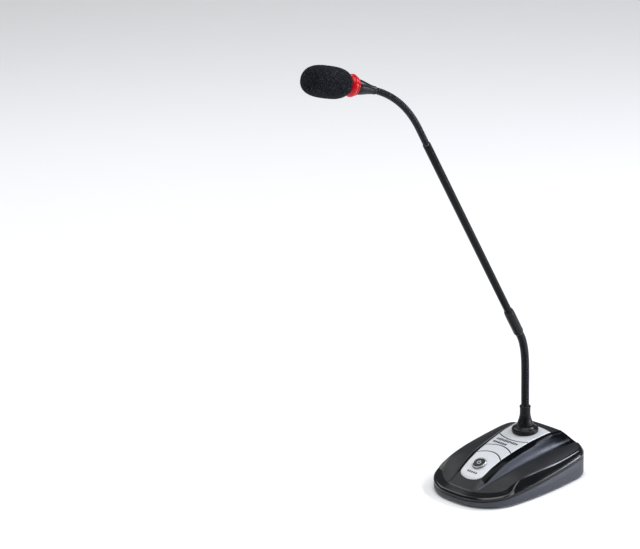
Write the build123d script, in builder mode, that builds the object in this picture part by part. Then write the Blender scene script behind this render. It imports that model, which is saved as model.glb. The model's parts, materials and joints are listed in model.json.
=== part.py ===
from build123d import *

import os
from math import atan2, cos, degrees, hypot, radians, sin

# Gooseneck podium microphone. Millimetres, +Z up, front towards -Y, and X = 0 is the symmetry plane.
# The origin is at the middle of the footprint, on the surface that the base stands on.

# ---------------------------------------------------------------- driving dimensions
HALF_WIDTH = 50.6  # base, at its widest
NOSE_Y = -68.2
REAR_Y = 68.2
NECK_Y = 30.3  # the gooseneck stands here
FLOOR_GAP = 1.6  # the feet hold the case this far off the table
WALL = 2.2

NOSE_R = 176.0  # outline arcs: nose, front corners, sides, rear corners, rear edge
FRONT_CORNER_R = 39.5
SIDE_R = 360.0
REAR_CORNER_R = 19.0
REAR_R = 420.0
WIDEST_Y = 24.0

PARTING_FRONT_Z = 6.0  # height of the parting line at the nose
PARTING_SLOPE = 0.108  # its rise per millimetre towards the rear
LIP_HEIGHT = 3.7  # upright lip of the upper shell, above the parting line
SHOULDER_RISE = 14.0  # the shoulder is cut off by the deck before it gets this high
SHOULDER_RUN = 10.5

LOWER_NECK_R = 3.85
LOWER_LINKS = 10
LOWER_LENGTH = 75.5
LOWER_START_Z = 65.4
LOWER_BEND = 30.7  # degrees that the lower section leans forward by
TUBE_R = 3.5
TUBE_LENGTH = 206.0
SLEEVE_R = 4.7
SLEEVE_LENGTH = 29.3
UPPER_NECK_R = 2.95
UPPER_LINKS = 12
UPPER_LENGTH = 78.2
UPPER_BEND = 42.8
UPPER_SWING = -23.0  # its bend is swung about the tube by this, which aims the head to one side
NECK_GAP = 0.7  # half of the gap between two links

AA_R = 7.1
AA_LENGTH = 50.2
BAY_HALF_X = 29.0
BAY_FRONT_Y = 6.6
BAY_REAR_Y = 39.2
BAY_TOP_Z = 19.2
DOOR_THICKNESS = 1.8

FOOT_X = 28.0
FOOT_REAR_Y = 57.0
FOOT_FRONT_Y = -47.0
FOOT_R = 4.5
FOOT_SPOTS = [(x, y) for x in (-FOOT_X, FOOT_X) for y in (FOOT_FRONT_Y, FOOT_REAR_Y)]

JACK_Z = 7.0
CHANNEL_R = 5.25
CHANNEL_LENGTH = 18.0
BUSHING_R = 2.9

os.makedirs("parts", exist_ok=True)
TOP = Plane.XY


def save(builder, label):
    """Labels one finished piece and writes it to its own file."""
    builder.part.label = label
    export_step(builder.part, f"parts/{label}.step")


# ---------------------------------------------------------------- shared shapes
def circle_meet(centre_a, radius_a, centre_b, radius_b):
    """The meeting point of two circles that lies nearer the nose."""
    dx, dy = centre_b[0] - centre_a[0], centre_b[1] - centre_a[1]
    gap = hypot(dx, dy)
    along = (gap**2 + radius_a**2 - radius_b**2) / (2 * gap)
    across = (radius_a**2 - along**2) ** 0.5
    points = [
        (
            centre_a[0] + (along * dx - side * across * dy) / gap,
            centre_a[1] + (along * dy + side * across * dx) / gap,
        )
        for side in (-1, 1)
    ]
    return min(points, key=lambda point: point[1])


def base_outline(inset=0.0, plane=TOP):
    """The base in plan, drawn in from its edge by inset: tangent arcs, mirrored about X = 0."""
    nose = (0, NOSE_Y + NOSE_R)
    side = (HALF_WIDTH - SIDE_R, WIDEST_Y)
    rear = (0, REAR_Y - REAR_R)
    front_corner = circle_meet(nose, NOSE_R - FRONT_CORNER_R, side, SIDE_R - FRONT_CORNER_R)
    rear_mirror = (side[0], -side[1])
    rear_corner = circle_meet(
        (0, -rear[1]), REAR_R - REAR_CORNER_R, rear_mirror, SIDE_R - REAR_CORNER_R
    )
    rear_corner = (rear_corner[0], -rear_corner[1])

    def on_arc(centre, radius, direction):
        return (
            centre[0] + (radius - inset) * cos(direction),
            centre[1] + (radius - inset) * sin(direction),
        )

    def heading(start, end):
        return atan2(end[1] - start[1], end[0] - start[0])

    turns = [
        radians(-90),
        heading(nose, front_corner),
        heading(side, front_corner),
        heading(side, rear_corner),
        heading(rear, rear_corner),
        radians(90),
    ]
    arcs = [
        (nose, NOSE_R, turns[0], turns[1]),
        (front_corner, FRONT_CORNER_R, turns[1], turns[2]),
        (side, SIDE_R, turns[2], turns[3]),
        (rear_corner, REAR_CORNER_R, turns[3], turns[4]),
        (rear, REAR_R, turns[4], turns[5]),
    ]
    with BuildSketch(plane) as outline:
        with BuildLine():
            for centre, radius, start, end in arcs:
                ThreePointArc(
                    on_arc(centre, radius, start),
                    on_arc(centre, radius, (start + end) / 2),
                    on_arc(centre, radius, end),
                )
            mirror(about=Plane.YZ)
        make_face()
    return outline.sketch


def sloped_plane(rise):
    """A plane parallel to the parting line, rise above it."""
    return Plane(
        origin=(0, NOSE_Y, PARTING_FRONT_Z + rise),
        x_dir=(1, 0, 0),
        z_dir=(0, -PARTING_SLOPE, 1),
    )


def prism(inset, low, high):
    """The outline, upright, between heights low and high."""
    with BuildPart() as block:
        extrude(base_outline(inset, Plane.XY.offset(low)), high - low)
    return block.part


def sloped_face(inset, rise):
    """The outline as it is cut by a plane parallel to the parting line."""
    with BuildPart() as block:
        add(prism(inset, -20, 80))
        split(bisect_by=sloped_plane(rise), keep=Keep.BOTTOM)
    return block.faces().sort_by(Axis.Z)[-1]


# Stations of the top surface from nose to rear. Each holds y, the centre height, then x and z of
# the plate's edge, the spine's edge and the valley beside it, and the deck's height near the rim.
STATIONS = [
    (-76.0, 7.0, (12.0, 6.9), (16.0, 6.7), (17.0, 6.6), 6.0),
    (-58.6, 12.2, (12.0, 12.1), (16.0, 11.9), (17.2, 11.8), 11.2),
    (-46.0, 20.2, (12.8, 20.0), (18.4, 17.2), (19.8, 15.9), 16.2),
    (-33.0, 26.8, (13.8, 26.5), (19.7, 24.2), (23.5, 20.0), 19.4),
    (-18.0, 31.4, (14.9, 31.1), (21.0, 28.6), (26.2, 23.3), 21.7),
    (0.0, 35.3, (16.2, 35.0), (22.3, 32.0), (28.6, 26.0), 23.3),
    (20.0, 38.5, (17.8, 38.2), (23.8, 34.6), (31.0, 28.0), 24.5),
    (40.0, 39.9, (19.3, 39.6), (24.9, 35.5), (32.9, 28.8), 25.9),
    (61.0, 39.2, (20.9, 38.9), (26.0, 35.3), (34.2, 28.9), 27.4),
    (64.0, 37.0, (21.0, 36.6), (26.2, 33.5), (34.4, 28.2), 27.0),
    (74.0, 20.0, (21.0, 19.7), (26.2, 19.2), (34.4, 18.8), 17.8),
]
DECK_X = 46.0
FAR_X = 60.0


def under_roof(drop=0.0, narrow=0.0):
    """Everything below the top surface, lowered by drop and with its spine narrowed."""
    with BuildPart() as roof:
        for y, centre, plate, spine, valley, deck in STATIONS:
            half = [
                (plate[0] - narrow, plate[1] - drop),
                (spine[0] - narrow, spine[1] - drop),
                (valley[0] - narrow, valley[1] - drop),
                (DECK_X, deck - drop),
                (FAR_X, deck - drop - 0.6),
                (FAR_X, -30.0),
            ]
            left = [(-x, z) for x, z in reversed(half)]
            with BuildSketch(Plane.XZ.offset(-y)):
                with BuildLine():
                    Polyline(*left, (0, centre - drop), *half, close=True)
                make_face()
        loft(ruled=True)
    return roof.part


def upper_block(inset, drop, narrow):
    """The upper shell as a solid block: upright lip, sloping shoulder, then the top surface."""
    with BuildPart() as lip:
        add(prism(inset, 0, 60))
        split(bisect_by=sloped_plane(0), keep=Keep.TOP)
        split(bisect_by=sloped_plane(LIP_HEIGHT), keep=Keep.BOTTOM)
    with BuildPart() as block:
        loft(
            [
                sloped_face(inset, LIP_HEIGHT),
                sloped_face(inset + SHOULDER_RUN, LIP_HEIGHT + SHOULDER_RISE),
            ],
            ruled=True,
        )
        extrude(sloped_face(inset + SHOULDER_RUN, LIP_HEIGHT + SHOULDER_RISE), 30, dir=(0, 0, 1))
        add(lip.part)
        add(under_roof(drop, narrow), mode=Mode.INTERSECT)
    return block.part


def cylinder_at(x, y, low, high, radius):
    """An upright cylinder, as a tool for a boss or a hole."""
    with BuildPart() as post:
        with BuildSketch(Plane.XY.offset(low)):
            with Locations((x, y)):
                Circle(radius)
        extrude(amount=high - low)
    return post.part


def box_between(low, high):
    """A box from its lowest and highest corner."""
    size = [b - a for a, b in zip(low, high)]
    middle = tuple((a + b) / 2 for a, b in zip(low, high))
    with BuildPart() as block:
        with Locations(middle):
            Box(*size)
    return block.part


# ---------------------------------------------------------------- faceplate outline
PLATE_TOP = 0.5  # the plate stands proud of the shell by this much
PLATE_BED = 0.9  # and sits in a bed this deep


def plate_outline(clearance=0.0):
    """The tongue-shaped plate in plan."""
    front, rear = -45.5, 44.0
    front_half, rear_half = 12.6 + clearance, 19.4 + clearance
    with BuildSketch() as outline:
        with BuildLine():
            ThreePointArc((-front_half, front), (0, front - 5 - clearance), (front_half, front))
            Line((front_half, front), (rear_half, rear))
            ThreePointArc((rear_half, rear), (0, rear + 7 + clearance), (-rear_half, rear))
            Line((-rear_half, rear), (-front_half, front))
        make_face()
        fillet(outline.vertices().group_by(Axis.Y)[0], 5)
    return outline.sketch


def plate_prism(clearance=0.0):
    with BuildPart() as block:
        extrude(plate_outline(clearance), 60)
    return block.part


# ---------------------------------------------------------------- power button place
BUTTON_Y = -32.8
BUTTON_TILT = 21.0  # the plate rises towards the rear by this many degrees here
BUTTON_Z = 27.0
BUTTON_AXIS = (0, -sin(radians(BUTTON_TILT)), cos(radians(BUTTON_TILT)))
BUTTON_SPOT = (0, BUTTON_Y, BUTTON_Z)
BUTTON_R = 5.2
BEZEL_R = 6.9
BUTTON_TRAVEL = 0.8
BUTTON_PLANE = Plane(origin=BUTTON_SPOT, x_dir=(1, 0, 0), z_dir=BUTTON_AXIS)


def button_local(distance):
    """The button's plane moved along its axis."""
    return BUTTON_PLANE.offset(distance)


def button_disc(low, high, radius, hole=0.0):
    with BuildPart() as disc:
        with BuildSketch(button_local(low)):
            Circle(radius)
            if hole:
                Circle(hole, mode=Mode.SUBTRACT)
        extrude(amount=high - low)
    return disc.part


# ---------------------------------------------------------------- upper shell
STUD_R = 4.0
BOSS_R = 3.6
BOSS_HOLE_R = 1.25

with BuildPart() as upper_shell:
    add(upper_block(0, 0, 0))
    add(upper_block(WALL, WALL + 0.2, WALL * 0.6), mode=Mode.SUBTRACT)
    add(box_between((-60, -80, -5), (60, 80, 0.5)), mode=Mode.SUBTRACT)
    with BuildPart(mode=Mode.PRIVATE) as bed:
        add(plate_prism(0.15))
        add(under_roof(PLATE_BED), mode=Mode.SUBTRACT)
    add(bed.part, mode=Mode.SUBTRACT)
    with BuildPart(mode=Mode.PRIVATE) as bosses:
        for x, y in FOOT_SPOTS:
            add(cylinder_at(x, y, 8.0, 40, BOSS_R))
        add(upper_block(WALL / 2, WALL / 2, WALL / 2), mode=Mode.INTERSECT)
    add(bosses.part)
    for x, y in FOOT_SPOTS:
        add(cylinder_at(x, y, 0, 8.0, BOSS_R + 1.2), mode=Mode.SUBTRACT)
        add(cylinder_at(x, y, 0, 12.5, BOSS_HOLE_R), mode=Mode.SUBTRACT)
    add(cylinder_at(0, NECK_Y, 20, 60, STUD_R + 0.2), mode=Mode.SUBTRACT)
    add(button_disc(-12, 6, BEZEL_R - 0.9), mode=Mode.SUBTRACT)
save(upper_shell, "upper_shell")

# ---------------------------------------------------------------- faceplate
GROOVE_WIDTH = 0.55
GROOVE_DEPTH = 0.35
GROOVES = [(16.2, -20.6, -14.3), (17.0, -7.6, -2.6), (19.2, 14.3, 9.7)]  # half chord, y at ends and middle


def arc_groove(half_chord, ends_y, middle_y):
    """The strip of plan that a groove covers: an arc across the plate."""
    with BuildSketch() as strip:
        with BuildLine():
            outer = ThreePointArc((-half_chord, ends_y), (0, middle_y), (half_chord, ends_y))
            offset(outer, amount=GROOVE_WIDTH, side=Side.LEFT, closed=True)
        make_face()
    return strip.sketch


with BuildPart() as faceplate:
    add(plate_prism())
    add(under_roof(-PLATE_TOP), mode=Mode.INTERSECT)
    add(under_roof(PLATE_BED - 0.02), mode=Mode.SUBTRACT)
    for half_chord, ends_y, middle_y in GROOVES:
        with BuildPart(mode=Mode.PRIVATE) as groove:
            extrude(arc_groove(half_chord, ends_y, middle_y), 60)
            add(under_roof(GROOVE_DEPTH - PLATE_TOP), mode=Mode.SUBTRACT)
        add(groove.part, mode=Mode.SUBTRACT)
    add(cylinder_at(0, NECK_Y, 20, 60, STUD_R + 0.2), mode=Mode.SUBTRACT)
    add(button_disc(-12, 6, BEZEL_R - 0.9), mode=Mode.SUBTRACT)
save(faceplate, "faceplate")

# ---------------------------------------------------------------- button, bezel and switch
with BuildPart() as button_bezel:
    with BuildSketch(Plane(origin=BUTTON_SPOT, x_dir=BUTTON_AXIS, z_dir=(1, 0, 0))):
        with BuildLine():
            Polyline(
                (-2.6, BUTTON_R + 0.2),
                (1.5, BUTTON_R + 0.2),
                (1.9, BUTTON_R + 0.6),
                (1.9, BEZEL_R - 0.5),
                (1.4, BEZEL_R),
                (0.75, BEZEL_R),
                (0.75, BEZEL_R - 1.1),
                (-2.6, BEZEL_R - 1.1),
                close=True,
            )
        make_face()
    revolve(axis=Axis(BUTTON_SPOT, BUTTON_AXIS))
save(button_bezel, "button_bezel")

with BuildPart() as power_button:
    add(button_disc(-1.6, 1.7, BUTTON_R))
    fillet(power_button.edges().filter_by(GeomType.CIRCLE).sort_by(Axis.Z)[-1], 0.5)
    add(button_disc(-6.2, -1.6, 1.6))
save(power_button, "power_button")

POWER_MARK_R = 2.0
with BuildPart() as power_mark:
    with BuildSketch(button_local(1.72)):
        Circle(POWER_MARK_R)
        Circle(POWER_MARK_R - 0.55, mode=Mode.SUBTRACT)
        with Locations((0, POWER_MARK_R)):
            Rectangle(1.7, 2.2, mode=Mode.SUBTRACT)
        with Locations((0, POWER_MARK_R - 0.5)):
            Rectangle(0.55, 2.0)
    extrude(amount=0.12)
save(power_mark, "power_mark")

BOARD_TOP = -11.0
with BuildPart() as power_switch:
    with BuildSketch(button_local(BOARD_TOP + 0.03)):
        Rectangle(6.0, 6.0)
    extrude(amount=3.5)
save(power_switch, "power_switch")

BOARD_THICKNESS = 1.6
BOARD_SCREW_SPOTS = [(-11.0, 20.0), (11.0, 20.0), (-11.0, -2.0), (11.0, -2.0)]
with BuildPart() as main_board:
    with BuildSketch(button_local(BOARD_TOP)):
        with Locations((0, 9.0)):
            RectangleRounded(29, 33, 1.5)
        with Locations(*BOARD_SCREW_SPOTS):
            Circle(1.3, mode=Mode.SUBTRACT)
    extrude(amount=-BOARD_THICKNESS)
save(main_board, "main_board")

with BuildPart() as board_parts:
    with BuildSketch(button_local(BOARD_TOP + 0.02)):
        with Locations((-7.5, 8.5), (6.0, 11.0)):
            Rectangle(5.0, 4.0)
        with Locations((0.0, 18.5)):
            Rectangle(9.0, 6.0)
    extrude(amount=1.8)
    with BuildSketch(button_local(BOARD_TOP + 0.02)):
        with Locations((-8.0, 14.5), (11.0, 6.0)):
            Circle(2.0)
    extrude(amount=5.0)
save(board_parts, "board_parts")

with BuildPart() as board_screws:
    for spot in BOARD_SCREW_SPOTS:
        with BuildSketch(button_local(BOARD_TOP - BOARD_THICKNESS - 0.02)):
            with Locations(spot):
                Circle(2.2)
        extrude(amount=-1.4)
        with BuildSketch(button_local(BOARD_TOP - BOARD_THICKNESS - 0.02)):
            with Locations(spot):
                Circle(1.1)
        extrude(amount=5.0)
save(board_screws, "board_screws")

# ---------------------------------------------------------------- lower shell
SCREW_HEAD_Z = 4.4
with BuildPart() as lower_shell:
    add(prism(0, FLOOR_GAP, 60))
    split(bisect_by=sloped_plane(-0.25), keep=Keep.BOTTOM)
    bottom_edges = lower_shell.faces().sort_by(Axis.Z)[0].edges()
    chamfer(bottom_edges, 0.9)
    add(prism(WALL, FLOOR_GAP + WALL, 60), mode=Mode.SUBTRACT)
    add(
        box_between(
            (-BAY_HALF_X - 1.6, BAY_FRONT_Y - 1.6, FLOOR_GAP),
            (BAY_HALF_X + 1.6, BAY_REAR_Y + 1.6, BAY_TOP_Z + 1.5),
        )
    )
    add(
        box_between(
            (-BAY_HALF_X, BAY_FRONT_Y, FLOOR_GAP - 1), (BAY_HALF_X, BAY_REAR_Y, BAY_TOP_Z)
        ),
        mode=Mode.SUBTRACT,
    )
    # ledge that the door lies in, and the pocket for its latch
    add(
        box_between(
            (-BAY_HALF_X - 1.2, BAY_FRONT_Y - 1.2, FLOOR_GAP - 1),
            (BAY_HALF_X + 1.2, BAY_REAR_Y + 1.2, FLOOR_GAP + DOOR_THICKNESS),
        ),
        mode=Mode.SUBTRACT,
    )
    add(
        box_between((-10, BAY_FRONT_Y - 10.5, FLOOR_GAP), (10, BAY_FRONT_Y - 1.6, FLOOR_GAP + 8))
    )
    add(
        box_between((-7.6, BAY_FRONT_Y - 8.9, FLOOR_GAP - 1), (7.6, BAY_FRONT_Y, FLOOR_GAP + 6.4)),
        mode=Mode.SUBTRACT,
    )
    # rear channel for the plug
    rear_wall = REAR_Y - WALL / 2
    add(box_between((-7.5, REAR_Y - CHANNEL_LENGTH - 2, FLOOR_GAP), (7.5, rear_wall, 15.0)))
    with BuildSketch(Plane.XZ.offset(-(REAR_Y - CHANNEL_LENGTH))):
        with Locations((0, JACK_Z)):
            Circle(CHANNEL_R)
        with Locations((0, JACK_Z / 2 - 2)):
            Rectangle(2 * CHANNEL_R, JACK_Z + 4)
    extrude(amount=-40, mode=Mode.SUBTRACT)
    with BuildSketch(Plane.XZ.offset(-(REAR_Y - CHANNEL_LENGTH - 3))):
        with Locations((0, JACK_Z)):
            Circle(BUSHING_R + 0.1)
    extrude(amount=-10, mode=Mode.SUBTRACT)
    # bosses under the feet, each with a pocket for the foot, a screw hole and a head seat
    for x, y in FOOT_SPOTS:
        add(cylinder_at(x, y, FLOOR_GAP, 7.8, BOSS_R + 1.8))
    for x, y in FOOT_SPOTS:
        add(cylinder_at(x, y, -1, FLOOR_GAP + 0.8, FOOT_R + 0.1), mode=Mode.SUBTRACT)
        add(cylinder_at(x, y, -1, SCREW_HEAD_Z + 0.6, 2.9), mode=Mode.SUBTRACT)
        add(cylinder_at(x, y, -1, 10, 1.7), mode=Mode.SUBTRACT)
save(lower_shell, "lower_shell")

with BuildPart() as rubber_feet:
    with BuildSketch(Plane.XY):
        with Locations(*FOOT_SPOTS):
            Circle(FOOT_R)
    extrude(amount=FLOOR_GAP + 0.78)
    chamfer(rubber_feet.faces().group_by(Axis.Z)[0].edges(), 0.5)
save(rubber_feet, "rubber_feet")

with BuildPart() as case_screws:
    with BuildSketch(Plane.XY.offset(FLOOR_GAP + 1.2)):
        with Locations(*FOOT_SPOTS):
            Circle(2.7)
    extrude(amount=2.2)
    with BuildSketch(Plane.XY.offset(FLOOR_GAP + 3.4)):
        with Locations(*FOOT_SPOTS):
            Circle(1.24)
    extrude(amount=7.0)
save(case_screws, "case_screws")

with BuildPart() as battery_door:
    add(
        box_between(
            (-BAY_HALF_X - 0.9, BAY_FRONT_Y - 0.9, FLOOR_GAP),
            (BAY_HALF_X + 0.9, BAY_REAR_Y + 0.9, FLOOR_GAP + DOOR_THICKNESS - 0.1),
        )
    )
    chamfer(battery_door.faces().sort_by(Axis.Z)[0].edges(), 0.4)
    add(
        box_between(
            (-6.8, BAY_FRONT_Y - 6.4, FLOOR_GAP + 0.2), (6.8, BAY_FRONT_Y, FLOOR_GAP + 1.5)
        )
    )
    add(
        box_between(
            (-6.8, BAY_FRONT_Y - 6.4, FLOOR_GAP + 0.2), (6.8, BAY_FRONT_Y - 5.0, FLOOR_GAP + 4.6)
        )
    )
    # finger ridges on the latch side
    for step in range(5):
        add(
            box_between(
                (-6.0, BAY_FRONT_Y + 2.0 + 1.6 * step, FLOOR_GAP - 0.3),
                (6.0, BAY_FRONT_Y + 2.8 + 1.6 * step, FLOOR_GAP + 0.2),
            )
        )
save(battery_door, "battery_door")

# ---------------------------------------------------------------- batteries and their contacts
CELL_Z = FLOOR_GAP + DOOR_THICKNESS + 0.2 + AA_R
CELL_GAP = 15.4
BAY_MIDDLE_Y = (BAY_FRONT_Y + BAY_REAR_Y) / 2
CELL_ROWS = [(BAY_MIDDLE_Y - CELL_GAP / 2, 1), (BAY_MIDDLE_Y + CELL_GAP / 2, -1)]

TAG_X = BAY_HALF_X - 0.45
TAG_HALF = 0.2
CELL_SHIFT = TAG_X - TAG_HALF - 0.02 - AA_LENGTH / 2  # the springs push each cell towards its plate

for number, (y, facing) in enumerate(CELL_ROWS, start=1):
    start = -facing * (AA_LENGTH / 2 - CELL_SHIFT)
    profile = [
        (0, 0),
        (0, AA_R - 0.6),
        (0.6, AA_R),
        (AA_LENGTH - 2.2, AA_R),
        (AA_LENGTH - 1.5, AA_R - 0.7),
        (AA_LENGTH - 1.5, 2.7),
        (AA_LENGTH, 2.7),
        (AA_LENGTH, 0),
    ]
    with BuildPart() as battery_cell:
        side = Plane(origin=(start, y, CELL_Z), x_dir=(facing, 0, 0), z_dir=(0, 0, 1))
        with BuildSketch(side):
            with BuildLine():
                Polyline(*profile, close=True)
            make_face()
        revolve(axis=Axis((start, y, CELL_Z), (facing, 0, 0)))
    save(battery_cell, f"battery_cell_{number}")

# Plates on the bay's end walls touch the cells' caps, coned springs touch their flat ends.
with BuildPart() as contact_plates:
    for y, facing in CELL_ROWS:
        x = facing * TAG_X
        add(box_between((x - TAG_HALF, y - 4.5, CELL_Z - 5), (x + TAG_HALF, y + 4.5, CELL_Z + 5)))
save(contact_plates, "contact_plates")

SPRING_WIRE_R = 0.4
SPRING_START = AA_LENGTH / 2 - CELL_SHIFT + SPRING_WIRE_R + 0.02
SPRING_LENGTH = BAY_HALF_X - 0.05 - SPRING_WIRE_R - SPRING_START
with BuildPart() as contact_springs:
    for y, facing in CELL_ROWS:
        with BuildLine() as wire:
            Helix(
                SPRING_LENGTH / 3.5,
                SPRING_LENGTH,
                2.4,
                center=(-facing * SPRING_START, y, CELL_Z),
                direction=(-facing, 0, 0),
                cone_angle=15,
            )
        with BuildSketch(Plane(origin=wire.line @ 0, z_dir=wire.line % 0)):
            Circle(SPRING_WIRE_R)
        sweep(path=wire.line)
save(contact_springs, "contact_springs")

# ---------------------------------------------------------------- rear socket
SOCKET_FRONT_Y = BAY_REAR_Y + 1.7
SOCKET_REAR_Y = REAR_Y - CHANNEL_LENGTH - 2.0
SOCKET_BORE_R = 1.8
with BuildPart() as output_socket:
    add(
        box_between(
            (-5.0, SOCKET_FRONT_Y, FLOOR_GAP + WALL + 0.02), (5.0, SOCKET_REAR_Y - 0.02, 12.0)
        )
    )
    socket_face = Plane(origin=(0, SOCKET_REAR_Y - 0.02, JACK_Z), x_dir=(1, 0, 0), z_dir=(0, 1, 0))
    with BuildSketch(socket_face):
        Circle(BUSHING_R)
    extrude(amount=2.0)
    with BuildSketch(socket_face.offset(-7.0)):
        Circle(SOCKET_BORE_R)
    extrude(amount=20, mode=Mode.SUBTRACT)
save(output_socket, "output_socket")

# ---------------------------------------------------------------- ballast
BALLAST_Z = FLOOR_GAP + WALL + 0.02
with BuildPart() as ballast_plate:
    with BuildSketch(Plane.XY.offset(BALLAST_Z)):
        with Locations((0, -29.0)):
            RectangleRounded(40, 34, 4)
        with Locations((-15, -29.0), (15, -29.0)):
            Circle(1.7, mode=Mode.SUBTRACT)
    extrude(amount=4.6)
save(ballast_plate, "ballast_plate")

with BuildPart() as ballast_screws:
    for x in (-15, 15):
        add(cylinder_at(x, -29.0, BALLAST_Z + 4.62, BALLAST_Z + 6.2, 2.8))
        add(cylinder_at(x, -29.0, BALLAST_Z + 0.02, BALLAST_Z + 4.62, 1.4))
save(ballast_screws, "ballast_screws")

# ---------------------------------------------------------------- foot of the gooseneck
PLATE_Z = 39.7  # top of the faceplate at the gooseneck
FLANGE_TOP = 46.0
NECK_FOOT = (0, NECK_Y, 0)
UP = (0, 0, 1)
with BuildPart() as neck_flange:
    side = Plane(origin=NECK_FOOT, x_dir=UP, z_dir=(1, 0, 0))
    with BuildSketch(side):
        with BuildLine():
            Polyline((PLATE_Z - 3.5, STUD_R + 0.1), (PLATE_Z - 3.5, 10.4), (PLATE_Z + 1.2, 10.4))
            Line((PLATE_Z + 1.2, 10.4), (PLATE_Z + 1.2, 11.9))
            ThreePointArc(
                (PLATE_Z + 1.2, 11.9), (PLATE_Z + 2.6, 12.6), (PLATE_Z + 4.0, 11.6)
            )
            ThreePointArc(
                (PLATE_Z + 4.0, 11.6), (FLANGE_TOP - 1.0, 9.6), (FLANGE_TOP, 7.4)
            )
            Polyline((FLANGE_TOP, 7.4), (FLANGE_TOP, STUD_R + 0.1), (PLATE_Z - 3.5, STUD_R + 0.1))
        make_face()
    revolve(axis=Axis(NECK_FOOT, UP))
    add(under_roof(-PLATE_TOP - 0.02), mode=Mode.SUBTRACT)
save(neck_flange, "neck_flange")

BOOT_TOP = LOWER_START_Z - 0.6
with BuildPart() as neck_boot:
    side = Plane(origin=NECK_FOOT, x_dir=UP, z_dir=(1, 0, 0))
    with BuildSketch(side):
        with BuildLine():
            Polyline(
                (FLANGE_TOP + 0.02, STUD_R + 0.1),
                (FLANGE_TOP + 0.02, 7.7),
                (FLANGE_TOP + 1.2, 7.6),
            )
            ThreePointArc(
                (FLANGE_TOP + 1.2, 7.6), (FLANGE_TOP + 5.0, 6.2), (FLANGE_TOP + 10.0, 4.95)
            )
            Polyline(
                (FLANGE_TOP + 10.0, 4.95),
                (BOOT_TOP - 1.6, 4.95),
                (BOOT_TOP - 1.4, 5.2),
                (BOOT_TOP - 0.3, 5.2),
                (BOOT_TOP, 4.9),
                (BOOT_TOP, STUD_R + 0.1),
                (FLANGE_TOP + 0.02, STUD_R + 0.1),
            )
        make_face()
    revolve(axis=Axis(NECK_FOOT, UP))
save(neck_boot, "neck_boot")

NUT_TOP = 33.6
with BuildPart() as neck_stud:
    with BuildSketch(Plane(origin=(0, NECK_Y, 25.0))):
        Circle(STUD_R)
        Circle(2.2, mode=Mode.SUBTRACT)
    extrude(amount=LOWER_START_Z - 4.0 - 25.0)
save(neck_stud, "neck_stud")

with BuildPart() as neck_washer:
    with BuildSketch(Plane(origin=(0, NECK_Y, NUT_TOP + 0.02))):
        Circle(8.0)
        Circle(STUD_R + 0.05, mode=Mode.SUBTRACT)
    extrude(amount=0.9)
save(neck_washer, "neck_washer")

with BuildPart() as neck_nut:
    with BuildSketch(Plane(origin=(0, NECK_Y, NUT_TOP))):
        RegularPolygon(7.0, 6)
        Circle(STUD_R + 0.05, mode=Mode.SUBTRACT)
    extrude(amount=-4.0)
save(neck_nut, "neck_nut")

# ---------------------------------------------------------------- gooseneck path
LEAN_LATE = (4, 1.5)  # joint after which the lower section starts to lean, and how fast it grows
LEAN_EVEN = (3, 0.35)  # the same for the upper section, which bends almost evenly


def joint_turns(total, count, lean):
    """How many degrees each joint of a section turns forward at rest."""
    first, power = lean
    shares = [max(0, number - first) ** power for number in range(1, count + 1)]
    return [total * share / sum(shares) for share in shares]


def forward(lean, swing=0):
    """The direction that leans forward from upright, in a plane swung about the straight tube."""
    direction = Vector(0, -sin(radians(lean)), cos(radians(lean)))
    if swing:
        direction = direction.rotate(Axis((0, 0, 0), forward(LOWER_BEND)), swing)
    return direction


def walk(start, lean, turns, length, swing=0):
    """Joint places along a section: [(point, direction after the joint), ...], and its end."""
    point, places = Vector(start), []
    for turn in turns:
        lean += turn
        direction = forward(lean, swing)
        places.append((point, direction))
        point = point + direction * length
    return places, point


def along_axis(point, direction):
    """A plane that holds an axis: its x runs along the axis and its y away from it."""
    across = Vector(1, 0, 0) - direction * direction.X
    return Plane(origin=point, x_dir=direction, z_dir=across)


LOWER_LINK = LOWER_LENGTH / LOWER_LINKS
UPPER_LINK = UPPER_LENGTH / UPPER_LINKS
lower_places, sleeve_start = walk(
    (0, NECK_Y, LOWER_START_Z), 0, joint_turns(LOWER_BEND, LOWER_LINKS, LEAN_LATE), LOWER_LINK
)
TUBE_WAY = forward(LOWER_BEND)
tube_start = sleeve_start + TUBE_WAY * (SLEEVE_LENGTH - 5.0)
upper_start = sleeve_start + TUBE_WAY * (SLEEVE_LENGTH + TUBE_LENGTH)
upper_turns = joint_turns(UPPER_BEND, UPPER_LINKS + 1, LEAN_EVEN)
upper_places, _ = walk(upper_start, LOWER_BEND, upper_turns, UPPER_LINK, UPPER_SWING)
head_start, HEAD_WAY = upper_places[-1]
for name, places in (("lower", lower_places), ("upper", upper_places)):
    print(name, [[round(c, 4) for c in (*point, *direction)] for point, direction in places])
print("sleeve", tuple(sleeve_start), "tube end", tuple(upper_start))

BALL_SHARE = 0.74  # ball radius of a link's joint, as a share of its outer radius
BALL_FLAT = 0.45  # the ball is cut flat this far past its centre, as a share of its radius
BALL_PLAY = 0.3


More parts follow.
